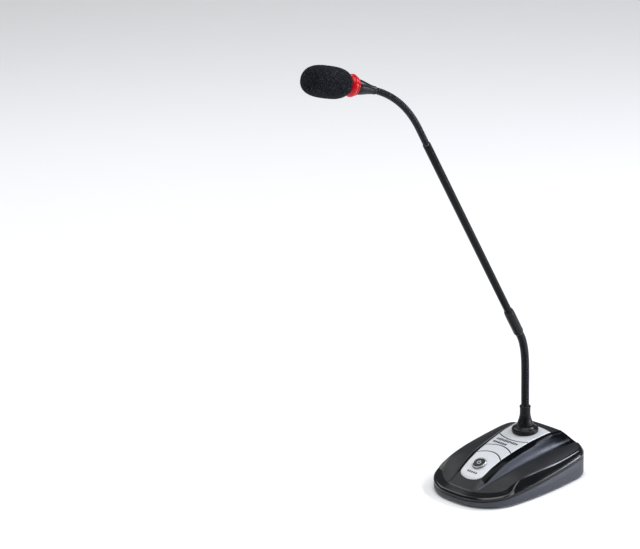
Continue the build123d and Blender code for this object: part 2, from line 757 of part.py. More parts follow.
def neck_link(place, radius, length, ball=True):
    """One stretch of gooseneck: a socket at its lower end and, if asked, a ball past its upper end."""
    point, direction = place
    ball_r = BALL_SHARE * radius
    end = point + direction * length
    ball_end = end + direction * (BALL_FLAT * ball_r)
    with BuildPart() as link:
        with BuildSketch(along_axis(point, direction)):
            with BuildLine():
                Polyline(
                    (NECK_GAP, 0),
                    (NECK_GAP, radius - 0.35),
                    (NECK_GAP + 0.35, radius),
                    (length - NECK_GAP - 0.35, radius),
                    (length - NECK_GAP, radius - 0.35),
                    (length - NECK_GAP, 0),
                    close=True,
                )
            make_face()
        revolve(axis=Axis(point, direction))
        if ball:
            with Locations(end):
                Sphere(ball_r)
            with BuildSketch(Plane(origin=ball_end, z_dir=direction)):
                Circle(3 * radius)
            extrude(amount=2 * radius, mode=Mode.SUBTRACT)
        with Locations(point):
            Sphere(ball_r + BALL_PLAY, mode=Mode.SUBTRACT)
    return link


for number, place in enumerate(lower_places[:-1], start=1):
    save(neck_link(place, LOWER_NECK_R, LOWER_LINK), f"lower_neck_{number:02d}")
save(neck_link(lower_places[-1], LOWER_NECK_R, LOWER_LINK, ball=False), "lower_neck_end")
for number, place in enumerate(upper_places[:-1], start=1):
    save(neck_link(place, UPPER_NECK_R, UPPER_LINK), f"upper_neck_{number:02d}")

LOWER_BALL_R = BALL_SHARE * LOWER_NECK_R
with BuildPart() as neck_root:
    with Locations(lower_places[0][0]):
        Sphere(LOWER_BALL_R)
    add(cylinder_at(0, NECK_Y, LOWER_START_Z - 3.9, LOWER_START_Z - 0.6, STUD_R - 0.3))
    flat_z = LOWER_START_Z + BALL_FLAT * LOWER_BALL_R
    add(cylinder_at(0, NECK_Y, flat_z, 90, STUD_R * 2), mode=Mode.SUBTRACT)
save(neck_root, "neck_root")

# ---------------------------------------------------------------- sleeve and straight tube
with BuildPart() as coupling_sleeve:
    with BuildSketch(along_axis(sleeve_start, TUBE_WAY)):
        with BuildLine():
            Polyline(
                (-0.55, 0.0),
                (-0.55, SLEEVE_R - 0.9),
                (0.4, SLEEVE_R - 0.2),
                (1.2, SLEEVE_R),
                (SLEEVE_LENGTH - 4.0, SLEEVE_R),
                (SLEEVE_LENGTH - 1.5, SLEEVE_R - 0.3),
                (SLEEVE_LENGTH, TUBE_R + 0.25),
                (SLEEVE_LENGTH, TUBE_R + 0.02),
                (SLEEVE_LENGTH - 5.0, TUBE_R + 0.02),
                (SLEEVE_LENGTH - 5.0, 0.0),
                close=True,
            )
        make_face()
    revolve(axis=Axis(sleeve_start, TUBE_WAY))
save(coupling_sleeve, "coupling_sleeve")

TUBE_WALL = 0.6
with BuildPart() as mid_tube:
    full = TUBE_LENGTH + 4.9
    with BuildSketch(along_axis(tube_start, TUBE_WAY)):
        with BuildLine():
            Polyline(
                (0.1, TUBE_R - TUBE_WALL),
                (0.1, TUBE_R),
                (full - 0.8, TUBE_R),
                (full - 0.3, TUBE_R - 0.3),
                (full - 0.3, TUBE_R - TUBE_WALL),
                close=True,
            )
        make_face()
    revolve(axis=Axis(tube_start, TUBE_WAY))
save(mid_tube, "mid_tube")

UPPER_BALL_R = BALL_SHARE * UPPER_NECK_R
PLUG_LENGTH = 5.0
with BuildPart() as tube_plug:
    with BuildSketch(along_axis(upper_start, TUBE_WAY)):
        Rectangle(PLUG_LENGTH - 0.6, TUBE_R - TUBE_WALL - 0.02, align=(Align.MAX, Align.MIN))
        Rectangle(PLUG_LENGTH, 1.5, align=(Align.MAX, Align.MIN))
    revolve(axis=Axis(upper_start, TUBE_WAY))
    with Locations(upper_start):
        Sphere(UPPER_BALL_R)
    ball_end = upper_start + TUBE_WAY * (BALL_FLAT * UPPER_BALL_R)
    with BuildSketch(Plane(origin=ball_end, z_dir=TUBE_WAY)):
        Circle(10)
    extrude(amount=10, mode=Mode.SUBTRACT)
save(tube_plug, "tube_plug")

# ---------------------------------------------------------------- head, along its own axis
def turned(label, *outlines):
    """A head piece turned about the head's axis, from outlines of (distance, radius) points."""
    with BuildPart() as piece:
        for points in outlines:
            with BuildSketch(along_axis(head_start, HEAD_WAY)):
                with BuildLine():
                    Polyline(*points, close=True)
                make_face()
            revolve(axis=Axis(head_start, HEAD_WAY))
    save(piece, label)


COLLAR_LENGTH = 18.6
COLLAR_BIG_R = 6.4
COLLAR_SMALL_R = 3.5
COLLAR_BORE_R = UPPER_BALL_R + BALL_PLAY
FLARE_START = 3.5
FLARE_STEPS = 8
flare = [
    (
        FLARE_START + (COLLAR_LENGTH - FLARE_START) * step / FLARE_STEPS,
        COLLAR_SMALL_R + (COLLAR_BIG_R - COLLAR_SMALL_R) * (step / FLARE_STEPS) ** 1.5,
    )
    for step in range(FLARE_STEPS + 1)
]
turned(
    "head_collar",
    [
        (NECK_GAP, COLLAR_BORE_R),
        (NECK_GAP, COLLAR_SMALL_R - 0.3),
        (NECK_GAP + 0.3, COLLAR_SMALL_R),
        *flare,
        (COLLAR_LENGTH, 4.6),
        (12.0, 3.0),
        (12.0, 1.2),
        (COLLAR_BORE_R + 0.9, 1.2),
        (COLLAR_BORE_R + 0.9, COLLAR_BORE_R),
    ],
)

RING_R = 9.85
RING_START = COLLAR_LENGTH + 0.02
RING_FRONT = RING_START + 9.9
turned(
    "light_ring",
    [
        (RING_START, 4.8),
        (RING_START, 7.7),
        (RING_START + 0.5, 8.2),
        (RING_START + 1.5, 8.2),
        (RING_START + 1.8, 7.8),
        (RING_START + 2.1, 7.8),
        (RING_START + 2.4, 8.5),
        (RING_START + 3.5, 9.5),
        (RING_START + 5.2, RING_R),
        (RING_START + 7.0, 9.6),
        (RING_START + 8.6, 8.8),
        (RING_FRONT, 7.2),
        (RING_FRONT, 6.2),
        (RING_START + 1.4, 6.2),
        (RING_START + 1.4, 4.8),
    ],
)

LIGHT_BOARD_AT = RING_START + 1.45
turned(
    "light_board",
    [
        (LIGHT_BOARD_AT, 3.0),
        (LIGHT_BOARD_AT, 6.1),
        (LIGHT_BOARD_AT + 1.0, 6.1),
        (LIGHT_BOARD_AT + 1.0, 3.0),
    ],
)

GRILLE_R = 6.6
GRILLE_START = LIGHT_BOARD_AT + 1.05
GRILLE_END = GRILLE_START + 28.0
turned(
    "capsule_grille",
    [
        (GRILLE_START, GRILLE_R - 1.2),
        (GRILLE_START, 6.1),
        (RING_FRONT + 0.05, 6.1),
        (RING_FRONT + 0.05, GRILLE_R),
        (GRILLE_END - 2.5, GRILLE_R),
        (GRILLE_END - 0.8, GRILLE_R - 1.4),
        (GRILLE_END, GRILLE_R - 4.0),
        (GRILLE_END, 0.0),
        (GRILLE_END - 0.6, 0.0),
        (GRILLE_END - 0.6, GRILLE_R - 4.2),
        (GRILLE_END - 1.3, GRILLE_R - 1.9),
        (GRILLE_END - 2.8, GRILLE_R - 0.6),
        (RING_FRONT + 1.0, GRILLE_R - 0.6),
        (RING_FRONT, GRILLE_R - 1.2),
    ],
)

CAPSULE_R = 4.85
CAPSULE_START = GRILLE_END - 11.0
turned(
    "mic_capsule",
    [
        (CAPSULE_START, 0.0),
        (CAPSULE_START, CAPSULE_R),
        (CAPSULE_START + 6.5, CAPSULE_R),
        (CAPSULE_START + 6.5, CAPSULE_R - 0.8),
        (CAPSULE_START + 6.3, CAPSULE_R - 0.8),
        (CAPSULE_START + 6.3, 0.0),
    ],
)
turned(
    "capsule_gasket",
    [
        (CAPSULE_START + 0.6, CAPSULE_R + 0.02),
        (CAPSULE_START + 0.6, GRILLE_R - 0.62),
        (CAPSULE_START + 5.4, GRILLE_R - 0.62),
        (CAPSULE_START + 5.4, CAPSULE_R + 0.02),
    ],
)

FOAM_R = 13.5
FOAM_BACK = RING_START + 7.6  # its rounded outline would close here if the end were not cut off
FOAM_MOUTH = RING_FRONT + 0.1  # the open end is cut off flat here
FOAM_LENGTH = 45.4
FOAM_BULGE = 2.35  # exponent of the rounded-oval outline: 2 is an ellipse, more is squarer
FOAM_HOLE_R = GRILLE_R + 0.15


def foam_point(share):
    """Distance along the head and outer radius, at a share of the rounded outline's length."""
    radius = FOAM_R * (1 - abs(2 * share - 1) ** FOAM_BULGE) ** (1 / FOAM_BULGE)
    return (FOAM_BACK + FOAM_LENGTH * share, radius)


foam_points = [foam_point((1 - cos(radians(9 * step))) / 2) for step in range(1, 20)]
turned(
    "foam_windscreen",
    [
        (FOAM_MOUTH, FOAM_HOLE_R),
        foam_point((FOAM_MOUTH - FOAM_BACK) / FOAM_LENGTH),
        *[point for point in foam_points if point[0] > FOAM_MOUTH + 0.2],
        (FOAM_BACK + FOAM_LENGTH, 0.0),
        (GRILLE_END + 0.6, 0.0),
        (GRILLE_END + 0.6, FOAM_HOLE_R),
    ],
)
print("head", tuple(head_start), tuple(HEAD_WAY))
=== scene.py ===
# %% [markdown]
# # A gooseneck podium microphone
# A wedge-shaped base carries a bendable neck, a straight tube, a second bendable neck and a small
# head in a foam windscreen. The working model is the frame: it says where everything is and how it
# moves. This script keeps those places and gives each visible piece its final surface.

# %% Load the frame
import json
import math

import bmesh
import bpy
import numpy as np
from mathutils import Matrix, Vector

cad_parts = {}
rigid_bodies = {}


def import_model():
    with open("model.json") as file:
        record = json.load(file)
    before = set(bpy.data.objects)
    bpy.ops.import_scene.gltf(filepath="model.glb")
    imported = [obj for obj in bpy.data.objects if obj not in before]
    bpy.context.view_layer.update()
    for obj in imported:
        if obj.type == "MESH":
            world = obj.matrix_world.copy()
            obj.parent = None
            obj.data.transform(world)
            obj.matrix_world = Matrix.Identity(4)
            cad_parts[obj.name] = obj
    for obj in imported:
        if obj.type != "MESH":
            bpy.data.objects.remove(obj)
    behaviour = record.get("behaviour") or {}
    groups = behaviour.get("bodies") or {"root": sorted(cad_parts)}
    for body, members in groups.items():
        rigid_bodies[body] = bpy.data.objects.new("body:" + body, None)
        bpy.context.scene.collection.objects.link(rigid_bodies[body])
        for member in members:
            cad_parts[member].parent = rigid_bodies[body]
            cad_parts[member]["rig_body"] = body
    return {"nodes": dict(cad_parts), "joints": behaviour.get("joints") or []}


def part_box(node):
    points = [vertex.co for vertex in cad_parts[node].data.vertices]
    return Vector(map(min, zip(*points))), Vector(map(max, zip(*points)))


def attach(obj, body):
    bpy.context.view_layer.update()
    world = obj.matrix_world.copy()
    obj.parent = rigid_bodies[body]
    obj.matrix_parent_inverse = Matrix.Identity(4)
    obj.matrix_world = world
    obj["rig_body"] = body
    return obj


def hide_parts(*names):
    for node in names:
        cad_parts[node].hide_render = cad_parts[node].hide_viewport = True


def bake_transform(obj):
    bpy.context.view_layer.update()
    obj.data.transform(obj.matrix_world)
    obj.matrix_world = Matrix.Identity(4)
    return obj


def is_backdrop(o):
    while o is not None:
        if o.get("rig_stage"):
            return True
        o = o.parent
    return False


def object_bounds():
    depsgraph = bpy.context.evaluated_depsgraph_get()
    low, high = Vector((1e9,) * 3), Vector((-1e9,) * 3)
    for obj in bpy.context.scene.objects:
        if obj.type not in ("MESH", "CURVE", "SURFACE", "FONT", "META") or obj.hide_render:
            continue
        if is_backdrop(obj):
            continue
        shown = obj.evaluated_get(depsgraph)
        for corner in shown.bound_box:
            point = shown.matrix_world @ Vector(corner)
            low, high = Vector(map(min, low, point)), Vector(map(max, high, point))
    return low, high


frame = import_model()
nodes = frame["nodes"]
joints = {joint["name"]: joint for joint in frame["joints"]}
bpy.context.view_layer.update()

# %% [markdown]
# ## Camera
# The view is from the front right, a little above, through a long lens, so that the tall neck
# keeps almost parallel edges. A camera looks along its own -Z, so its three axes are worked out
# from an azimuth, an elevation and a small roll.

# %% Camera
AZIMUTH = math.radians(45.724)
CAMERA_ELEVATION = math.radians(18.727)
ROLL = math.radians(-1.455)
CAMERA_PLACE = (1.3200, -1.5153, 0.8829)

camera_data = bpy.data.cameras.new("camera")
camera_data.lens = 133.62
camera_data.sensor_width = 36.0
camera_data.clip_end = 50.0
camera = bpy.data.objects.new("camera", camera_data)
bpy.context.scene.collection.objects.link(camera)
bpy.context.scene.camera = camera

back = Vector(
    (
        math.sin(AZIMUTH) * math.cos(CAMERA_ELEVATION),
        -math.cos(AZIMUTH) * math.cos(CAMERA_ELEVATION),
        math.sin(CAMERA_ELEVATION),
    )
)
level_right = Vector((math.cos(AZIMUTH), math.sin(AZIMUTH), 0.0))
level_up = back.cross(level_right)
right = level_right * math.cos(ROLL) + level_up * math.sin(ROLL)
up = level_up * math.cos(ROLL) - level_right * math.sin(ROLL)
turned_to_view = Matrix((right, up, back)).transposed()
camera.matrix_world = Matrix.Translation(CAMERA_PLACE) @ turned_to_view.to_4x4()
print("camera at", CAMERA_PLACE)

# %% [markdown]
# ## Helpers for materials
# A procedural material is a small graph of nodes. One function adds a node, sets its options, and
# links or sets its inputs, so that a whole pattern reads as a few calls. Colours are written as
# the hex values a painter's swatch would have, and turned to linear light once, here.

# %% Material helpers
MM = 0.001


def linear(hex_colour):
    """An sRGB hex colour as linear RGBA."""
    channels = [int(hex_colour[i : i + 2], 16) / 255 for i in (1, 3, 5)]
    return (*[c / 12.92 if c <= 0.04045 else ((c + 0.055) / 1.055) ** 2.4 for c in channels], 1.0)


def add(tree, kind, inputs=None, **settings):
    """Adds a node. An input is a value, or another node's output to link to it."""
    made = tree.nodes.new(kind)
    for name, value in settings.items():
        setattr(made, name, value)
    for name, value in (inputs or {}).items():
        if isinstance(value, bpy.types.NodeSocket):
            tree.links.new(value, made.inputs[name])
        else:
            made.inputs[name].default_value = value
    return made


def new_material(name, colour, **shader_inputs):
    """A material with one Principled shader, its constants set on the shader's own sockets."""
    material = bpy.data.materials.new(name)
    material.use_nodes = True
    tree = material.node_tree
    shader = tree.nodes["Principled BSDF"]
    shader.inputs["Base Color"].default_value = linear(colour)
    for label, value in shader_inputs.items():
        shader.inputs[label.replace("_", " ").title().replace("Ior", "IOR")].default_value = value
    return material, tree, shader


def math_node(tree, operation, first, second=0.0):
    return add(tree, "ShaderNodeMath", {0: first, 1: second}, operation=operation).outputs[0]


def object_coords(tree):
    return add(tree, "ShaderNodeTexCoord").outputs["Object"]


def grain(tree, size_mm, detail=2.0, stretch=(1.0, 1.0, 1.0)):
    """Noise as a 0 to 1 factor, its lumps size_mm across. Stretch makes it finer along an axis."""
    mapping = add(
        tree, "ShaderNodeMapping", {"Vector": object_coords(tree), "Scale": stretch}
    )
    return add(
        tree,
        "ShaderNodeTexNoise",
        {"Vector": mapping.outputs["Vector"], "Scale": 1 / (size_mm * MM), "Detail": detail},
    ).outputs["Fac"]


def spread(tree, factor, low, high, from_low=0.3, from_high=0.7):
    """Maps a factor's usual range to low ... high."""
    return add(
        tree,
        "ShaderNodeMapRange",
        {
            "Value": factor,
            "From Min": from_low,
            "From Max": from_high,
            "To Min": low,
            "To Max": high,
        },
    ).outputs["Result"]


def bump(tree, shader, height, distance_mm, strength=1.0):
    """Small relief: height is 0 to 1, and 1 stands distance_mm proud."""
    node = add(
        tree,
        "ShaderNodeBump",
        {"Height": height, "Distance": distance_mm * MM, "Strength": strength},
    )
    tree.links.new(node.outputs["Normal"], shader.inputs["Normal"])


def colour_mix(tree, factor, first, second):
    """Between two colours, which may be hex text or sockets."""
    picked = [linear(c) if isinstance(c, str) else c for c in (first, second)]
    return add(
        tree, "ShaderNodeMix", {0: factor, 6: picked[0], 7: picked[1]}, data_type="RGBA"
    ).outputs[2]


# %% [markdown]
# ## Black mouldings
# The upper shell is moulded in black ABS. The tool was polished where the band rolls down to the
# rim, and spark-eroded to a fine grain on the decks, so one plastic shows several finishes. The
# mesh carries three numbers from 0 to 1 that the material reads: "satin" on the grained decks,
# "scoop" in the scoops beside the spine, whose paler blue-grey is a painted reflection, and
# "matt" where hardly anything is mirrored.

# %% Upper shell plastic
abs_black, tree, shader = new_material(
    "abs_black_polished_grained_painted_scoop_reflection", "#0C0D10", ior=1.53
)
satin = add(tree, "ShaderNodeAttribute", attribute_name="satin").outputs["Fac"]
scoop = add(tree, "ShaderNodeAttribute", attribute_name="scoop").outputs["Fac"]
matt = add(tree, "ShaderNodeAttribute", attribute_name="matt").outputs["Fac"]
GRAIN_MM = 0.45  # a real spark-eroded grain is near 0.1 mm, too fine to show
SPECULAR_POLISHED, SPECULAR_MATT = 0.35, 0.04
ROUGH_POLISHED, ROUGH_GRAINED, ROUGH_SCOOP_EXTRA = 0.12, 0.45, 0.25
eroded = grain(tree, GRAIN_MM, 3.0)
handled = spread(tree, grain(tree, 14.0), 0.0, 0.07)
deck_colour = colour_mix(tree, eroded, "#0C0D10", "#17191D")
below_scoop = colour_mix(tree, satin, "#08090C", deck_colour)
# the scoops are painted a paler blue-grey: a painted reflection, strongest at the front
tree.links.new(colour_mix(tree, scoop, below_scoop, "#333743"), shader.inputs["Base Color"])
deck_roughness = spread(tree, satin, ROUGH_POLISHED, ROUGH_GRAINED, 0.0, 1.0)
scoop_roughness = math_node(tree, "MULTIPLY", scoop, ROUGH_SCOOP_EXTRA)
tree.links.new(
    spread(tree, matt, SPECULAR_POLISHED, SPECULAR_MATT, 0.0, 1.0),
    shader.inputs["Specular IOR Level"],
)
tree.links.new(
    math_node(tree, "ADD", math_node(tree, "ADD", deck_roughness, handled), scoop_roughness),
    shader.inputs["Roughness"],
)
bump(tree, shader, math_node(tree, "MULTIPLY", eroded, satin), 0.05, 0.6)

# %% Lower shell plastic
# The lower shell and the battery door are grained all over and a little greyer.
abs_grey, tree, shader = new_material(
    "abs_charcoal_grained", "#34363C", ior=1.53, specular_ior_level=0.3
)
eroded = grain(tree, 0.6, 3.0)
tree.links.new(colour_mix(tree, eroded, "#33353B", "#474A52"), shader.inputs["Base Color"])
tree.links.new(spread(tree, grain(tree, 9.0), 0.38, 0.5), shader.inputs["Roughness"])
bump(tree, shader, eroded, 0.06, 0.7)

# %% Neck foot and head collar plastic
# These small turned mouldings are satin black all over, with a faint orange-peel skin.
abs_satin, tree, shader = new_material(
    "abs_black_satin", "#08090B", ior=1.53, specular_ior_level=0.2
)
skin = grain(tree, 2.2, 2.0)
tree.links.new(spread(tree, skin, 0.27, 0.37), shader.inputs["Roughness"])
bump(tree, shader, skin, 0.02, 0.4)

# %% [markdown]
# ## Metals and lacquer
# The plate is aluminium, blasted and clear-coated, so it glitters finely instead of showing
# streaks. The tube is steel in black lacquer with a low, even shine. The necks are wound steel,
# blackened and oiled, which shines at the crown of each turn. A metal keeps the default IOR.

# %% Plate
plate_metal, tree, shader = new_material("aluminium_blasted", "#C4C6CA", metallic=0.3)
sparkle = grain(tree, 0.5, 4.0)
groove = add(tree, "ShaderNodeAttribute", attribute_name="groove").outputs["Fac"]
blasted = colour_mix(tree, spread(tree, sparkle, 0, 1), "#BBBDC1", "#D6D8DB")
# the engraved grooves are coloured near-black, #141517: painted shade in the grooves
tree.links.new(colour_mix(tree, groove, blasted, "#141517"), shader.inputs["Base Color"])
tree.links.new(spread(tree, sparkle, 0.42, 0.58), shader.inputs["Roughness"])
bump(tree, shader, sparkle, 0.03, 0.5)

# %% Chrome, steel and lacquer
chrome, tree, shader = new_material("chrome_plated", "#C9CBCF", metallic=1.0)
tree.links.new(spread(tree, grain(tree, 3.0), 0.08, 0.2), shader.inputs["Roughness"])

steel, tree, shader = new_material("steel_zinc_plated", "#9C9EA0", metallic=1.0)
plating = grain(tree, 0.8, 3.0)
tree.links.new(colour_mix(tree, plating, "#8D8F92", "#B4B5B6"), shader.inputs["Base Color"])
tree.links.new(spread(tree, plating, 0.25, 0.45), shader.inputs["Roughness"])
bump(tree, shader, plating, 0.02, 0.4)

lacquer, tree, shader = new_material(
    "steel_black_lacquer", "#060709", ior=1.5, specular_ior_level=0.12
)
flow = grain(tree, 5.0, 1.0, (1.0, 1.0, 0.3))
tree.links.new(spread(tree, flow, 0.2, 0.28), shader.inputs["Roughness"])
bump(tree, shader, flow, 0.02, 0.4)

wound_steel, tree, shader = new_material("steel_wound_blackened", "#17181A", metallic=1.0)
oil = grain(tree, 1.6, 3.0)
tree.links.new(colour_mix(tree, oil, "#1B1C1F", "#303236"), shader.inputs["Base Color"])
tree.links.new(spread(tree, oil, 0.16, 0.28), shader.inputs["Roughness"])

iron, tree, shader = new_material("cast_iron_rough", "#2E2D2C", metallic=0.8)
casting = grain(tree, 1.2, 5.0)
tree.links.new(spread(tree, casting, 0.6, 0.8), shader.inputs["Roughness"])
bump(tree, shader, casting, 0.2, 0.8)

# %% [markdown]
# ## Rubber, board, cells and print
# The feet are soft rubber with a dusty bloom. The board is glass fibre under green solder mask.
# A cell wears a printed jacket: a dark sleeve with a gold end, told apart by how far along the
# cell a point lies, so each cell's material is built around that cell's own middle.

# %% Small finishes
rubber, tree, shader = new_material("rubber_moulded", "#161617", ior=1.52, roughness=0.8)
bloom = grain(tree, 0.7, 4.0)
tree.links.new(colour_mix(tree, bloom, "#101011", "#202022"), shader.inputs["Base Color"])
bump(tree, shader, bloom, 0.08, 0.6)

board_mask, tree, shader = new_material("glass_fibre_green_mask", "#0E4A2A", ior=1.5)
fibre = grain(tree, 0.8, 2.0, (1.0, 0.25, 1.0))
tree.links.new(colour_mix(tree, fibre, "#0B3D22", "#125A34"), shader.inputs["Base Color"])
tree.links.new(spread(tree, fibre, 0.25, 0.4), shader.inputs["Roughness"])

print_white, tree, shader = new_material("print_pale_grey", "#BFC1C4", roughness=0.5)
tree.links.new(
    colour_mix(tree, grain(tree, 0.4), "#B2B4B8", "#CFD0D2"), shader.inputs["Base Color"]
)
print_dark, tree, shader = new_material("print_dark_grey", "#3A3C40", roughness=0.55)
tree.links.new(
    colour_mix(tree, grain(tree, 0.4), "#17181B", "#26272B"), shader.inputs["Base Color"]
)

GOLD_END_MM = 15.0


def cell_jacket(name, end_sign):
    """Gold towards the cap, which points along X by end_sign, and dark on the rest."""
    material, tree, shader = new_material(name, "#1A1A1C", metallic=0.9, roughness=0.25)
    low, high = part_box(name)
    middle = (low + high) / 2
    reach = (high.x - low.x) / 2 - GOLD_END_MM * MM
    place = add(
        tree,
        "ShaderNodeMapping",
        {"Vector": object_coords(tree), "Location": tuple(-middle)},
        vector_type="POINT",
    )
    along = add(tree, "ShaderNodeSeparateXYZ", {0: place.outputs[0]}).outputs["X"]
    signed = add(tree, "ShaderNodeMath", {0: along, 1: end_sign}, operation="MULTIPLY")
    band = add(
        tree, "ShaderNodeMath", {0: signed.outputs[0], 1: reach}, operation="GREATER_THAN"
    )
    ink = colour_mix(tree, grain(tree, 6.0), "#141416", "#26262A")
    tree.links.new(
        colour_mix(tree, band.outputs[0], ink, "#B98A2E"), shader.inputs["Base Color"]
    )
    return material


print("materials so far:", [m.name for m in bpy.data.materials])

# %% [markdown]
# ## Red ring
# The ring is a deep red acrylic that a lamp inside can light. Unlit, it reads as a saturated
# body colour under a clear, glossy skin, which one smooth dielectric shader gives. Light passing
# through would only bring in the dark colour of the foam behind it.

# %% Ring plastic
ring_red, tree, shader = new_material(
    "acrylic_red", "#C8061A", ior=1.49, specular_ior_level=0.3
)
flow = grain(tree, 4.0, 1.0)
tree.links.new(colour_mix(tree, flow, "#B80414", "#CE0A1C"), shader.inputs["Base Color"])
tree.links.new(spread(tree, flow, 0.2, 0.28), shader.inputs["Roughness"])

# %% [markdown]
# ## Foam
# Open-cell foam is a web of thin struts round holes about half a millimetre wide. Light catches
# the struts and dies in the holes. Cells read as the distance to the nearest point of a scattered
# set, so the struts lie where that distance is large. The cells here are nearly 1 mm wide, about
# as coarse as they need to be to show.

# %% Foam skin
CELL_MM = 0.85
foam_black, tree, shader = new_material(
    "polyurethane_foam_black", "#101114", roughness=0.95, specular_ior_level=0.15
)
cells = add(
    tree,
    "ShaderNodeTexVoronoi",
    {"Vector": object_coords(tree), "Scale": 1 / (CELL_MM * MM), "Randomness": 1.0},
).outputs["Distance"]
strut = spread(tree, cells, 0.0, 1.0, 0.35, 0.75)
glint = spread(tree, grain(tree, 1.4, 3.0), 0.25, 1.0, 0.42, 0.66)
lit = add(tree, "ShaderNodeMath", {0: strut, 1: glint}, operation="MULTIPLY")
tree.links.new(colour_mix(tree, lit.outputs[0], "#050608", "#363840"), shader.inputs["Base Color"])
bump(tree, shader, strut, 0.35, 0.9)
print("foam cells", CELL_MM, "mm")

# %% [markdown]
# ## The outline of the base
# In plan the base is five tangent arcs a side: a wide nose, a front corner, a long side, a rear
# corner and a slightly bowed back. Walking along the arcs gives evenly spaced points, and the
# distance from a point to the outline says how far inside the rim it lies.

# %% Outline
HALF_WIDTH, NOSE, REAR = 50.6, -68.2, 68.2
NOSE_R, FRONT_CORNER_R, SIDE_R, REAR_CORNER_R, REAR_R = 176.0, 39.5, 360.0, 19.0, 420.0
WIDEST = 24.0


def circle_meet(a, ra, b, rb, rearmost):
    """Where two circles meet, at the smaller or the larger y, with x above 0."""
    gap = math.dist(a, b)
    along = (gap**2 + ra**2 - rb**2) / (2 * gap)
    across = math.sqrt(ra**2 - along**2)
    ux, uy = (b[0] - a[0]) / gap, (b[1] - a[1]) / gap
    points = [
        (a[0] + along * ux - s * across * uy, a[1] + along * uy + s * across * ux) for s in (-1, 1)
    ]
    return sorted(points, key=lambda p: p[1])[-1 if rearmost else 0]


nose_c, side_c, rear_c = (0, NOSE + NOSE_R), (HALF_WIDTH - SIDE_R, WIDEST), (0, REAR - REAR_R)
front_c = circle_meet(nose_c, NOSE_R - FRONT_CORNER_R, side_c, SIDE_R - FRONT_CORNER_R, False)
back_c = circle_meet(rear_c, REAR_R - REAR_CORNER_R, side_c, SIDE_R - REAR_CORNER_R, True)


def bearing(a, b):
    return math.atan2(b[1] - a[1], b[0] - a[0])


bearings = [
    -math.pi / 2,
    bearing(nose_c, front_c),
    bearing(side_c, front_c),
    bearing(side_c, back_c),
    bearing(rear_c, back_c),
    math.pi / 2,
]
arcs = [
    (nose_c, NOSE_R, bearings[0], bearings[1]),
    (front_c, FRONT_CORNER_R, bearings[1], bearings[2]),
    (side_c, SIDE_R, bearings[2], bearings[3]),
    (back_c, REAR_CORNER_R, bearings[3], bearings[4]),
    (rear_c, REAR_R, bearings[4], bearings[5]),
]
STEP = 0.9  # mm between points round the rim
rim = [
    (c[0] + r * math.cos(a), c[1] + r * math.sin(a))
    for c, r, start, end in arcs
    for a in np.linspace(start, end, max(3, round(r * abs(end - start) / STEP)), endpoint=False)
]
rim = np.array(rim + [(0.0, REAR)])
rim[0, 0] = 0.0
print(len(rim), "points on the right half of the rim, widest", round(rim[:, 0].max(), 2), "mm")


def inside_by(x, y):
    """How far inside the outline points lie, from the arc that each one faces."""
    x = np.abs(x)
    best = np.full(x.shape, 1e9)
    for centre, radius, start, end in arcs:
        turn = np.arctan2(y - centre[1], x - centre[0])
        faces = (turn >= start - 1e-3) & (turn <= end + 1e-3)
        gap = radius - np.hypot(x - centre[0], y - centre[1])
        best = np.where(faces & (gap < best), gap, best)
    return np.where(best > 1e8, 40.0, np.maximum(best, 0.0))


# %% [markdown]
# ## Upper shell
# The top is one moulded skin: a crowned spine for the plate, a scoop on each side that opens
# towards the rear, a deck beyond it, and a band that rolls down to an upright lip. It follows a
# rule rather than a free shape: at any place along the base, a short list of heights and widths
# says where the spine, the scoop's two creases and the deck are. So it is built as a grid whose
# columns run along the creases, which keeps them crisp, and each point's height is computed.

# %% Heights of the top surface
# y, centre height, then x and z of the plate's edge, of the spine's edge and of the valley, and
# last the deck's height
STATIONS = np.array(
    [
        (-68.2, 9.75, 12.0, 9.75, 16.0, 9.73, 17.0, 9.72, 9.7),
        (-58.6, 12.2, 12.0, 12.1, 16.0, 11.9, 17.2, 11.8, 11.2),
        (-46.0, 20.2, 12.8, 20.0, 18.4, 17.2, 19.8, 15.9, 16.2),
        (-33.0, 26.8, 13.8, 26.5, 19.7, 24.2, 23.5, 20.0, 19.4),
        (-18.0, 31.4, 14.9, 31.1, 21.0, 28.6, 26.2, 23.3, 21.7),
        (0.0, 35.3, 16.2, 35.0, 22.3, 32.0, 28.6, 26.0, 23.3),
        (20.0, 38.5, 17.8, 38.2, 23.8, 34.6, 31.0, 28.0, 24.5),
        (40.0, 39.9, 19.3, 39.6, 24.9, 35.5, 32.9, 28.8, 25.9),
        (61.0, 37.9, 20.9, 37.6, 26.0, 34.2, 34.2, 28.5, 27.2),
        (64.0, 35.8, 21.0, 35.4, 26.2, 32.4, 34.4, 27.8, 26.8),
        (74.0, 20.0, 21.0, 19.7, 26.2, 19.2, 34.4, 18.8, 17.8),
    ]
)
PARTING_Z, PARTING_SLOPE, LIP = 6.0, 0.108, 3.7
SHOULDER_SLOPE = 14.0 / 10.5
DECK_X = 46.0
DECK_CROWN = 0.9
CREASE_Y = -58.6
EASE = 0.8  # mm over which two faces melt into each other

dense_y = np.arange(NOSE, 74.01, 0.25)
dense = np.empty((len(dense_y), 8))
front_part = dense_y < CREASE_Y
near_crease = np.clip((dense_y - CREASE_Y) / 6.0, 0, 1)
for column in range(8):
    straight = np.interp(dense_y, STATIONS[:, 0], STATIONS[:, column + 1])
    soft = np.convolve(np.pad(straight, 12, mode="edge"), np.ones(25) / 25, mode="valid")
    dense[:, column] = np.where(front_part, straight, straight + (soft - straight) * near_crease)


def stations_at(y):
    """The eight interpolated sizes at each y."""
    return [np.interp(y, dense_y, dense[:, column]) for column in range(8)]


def lip_top(y):
    return PARTING_Z + PARTING_SLOPE * (y - NOSE) + LIP


def soft_min(a, b, ease):
    """The lower of two heights, with the corner between them rounded off."""
    h = np.clip(0.5 + 0.5 * (b - a) / ease, 0, 1)
    return b + (a - b) * h - ease * h * (1 - h)


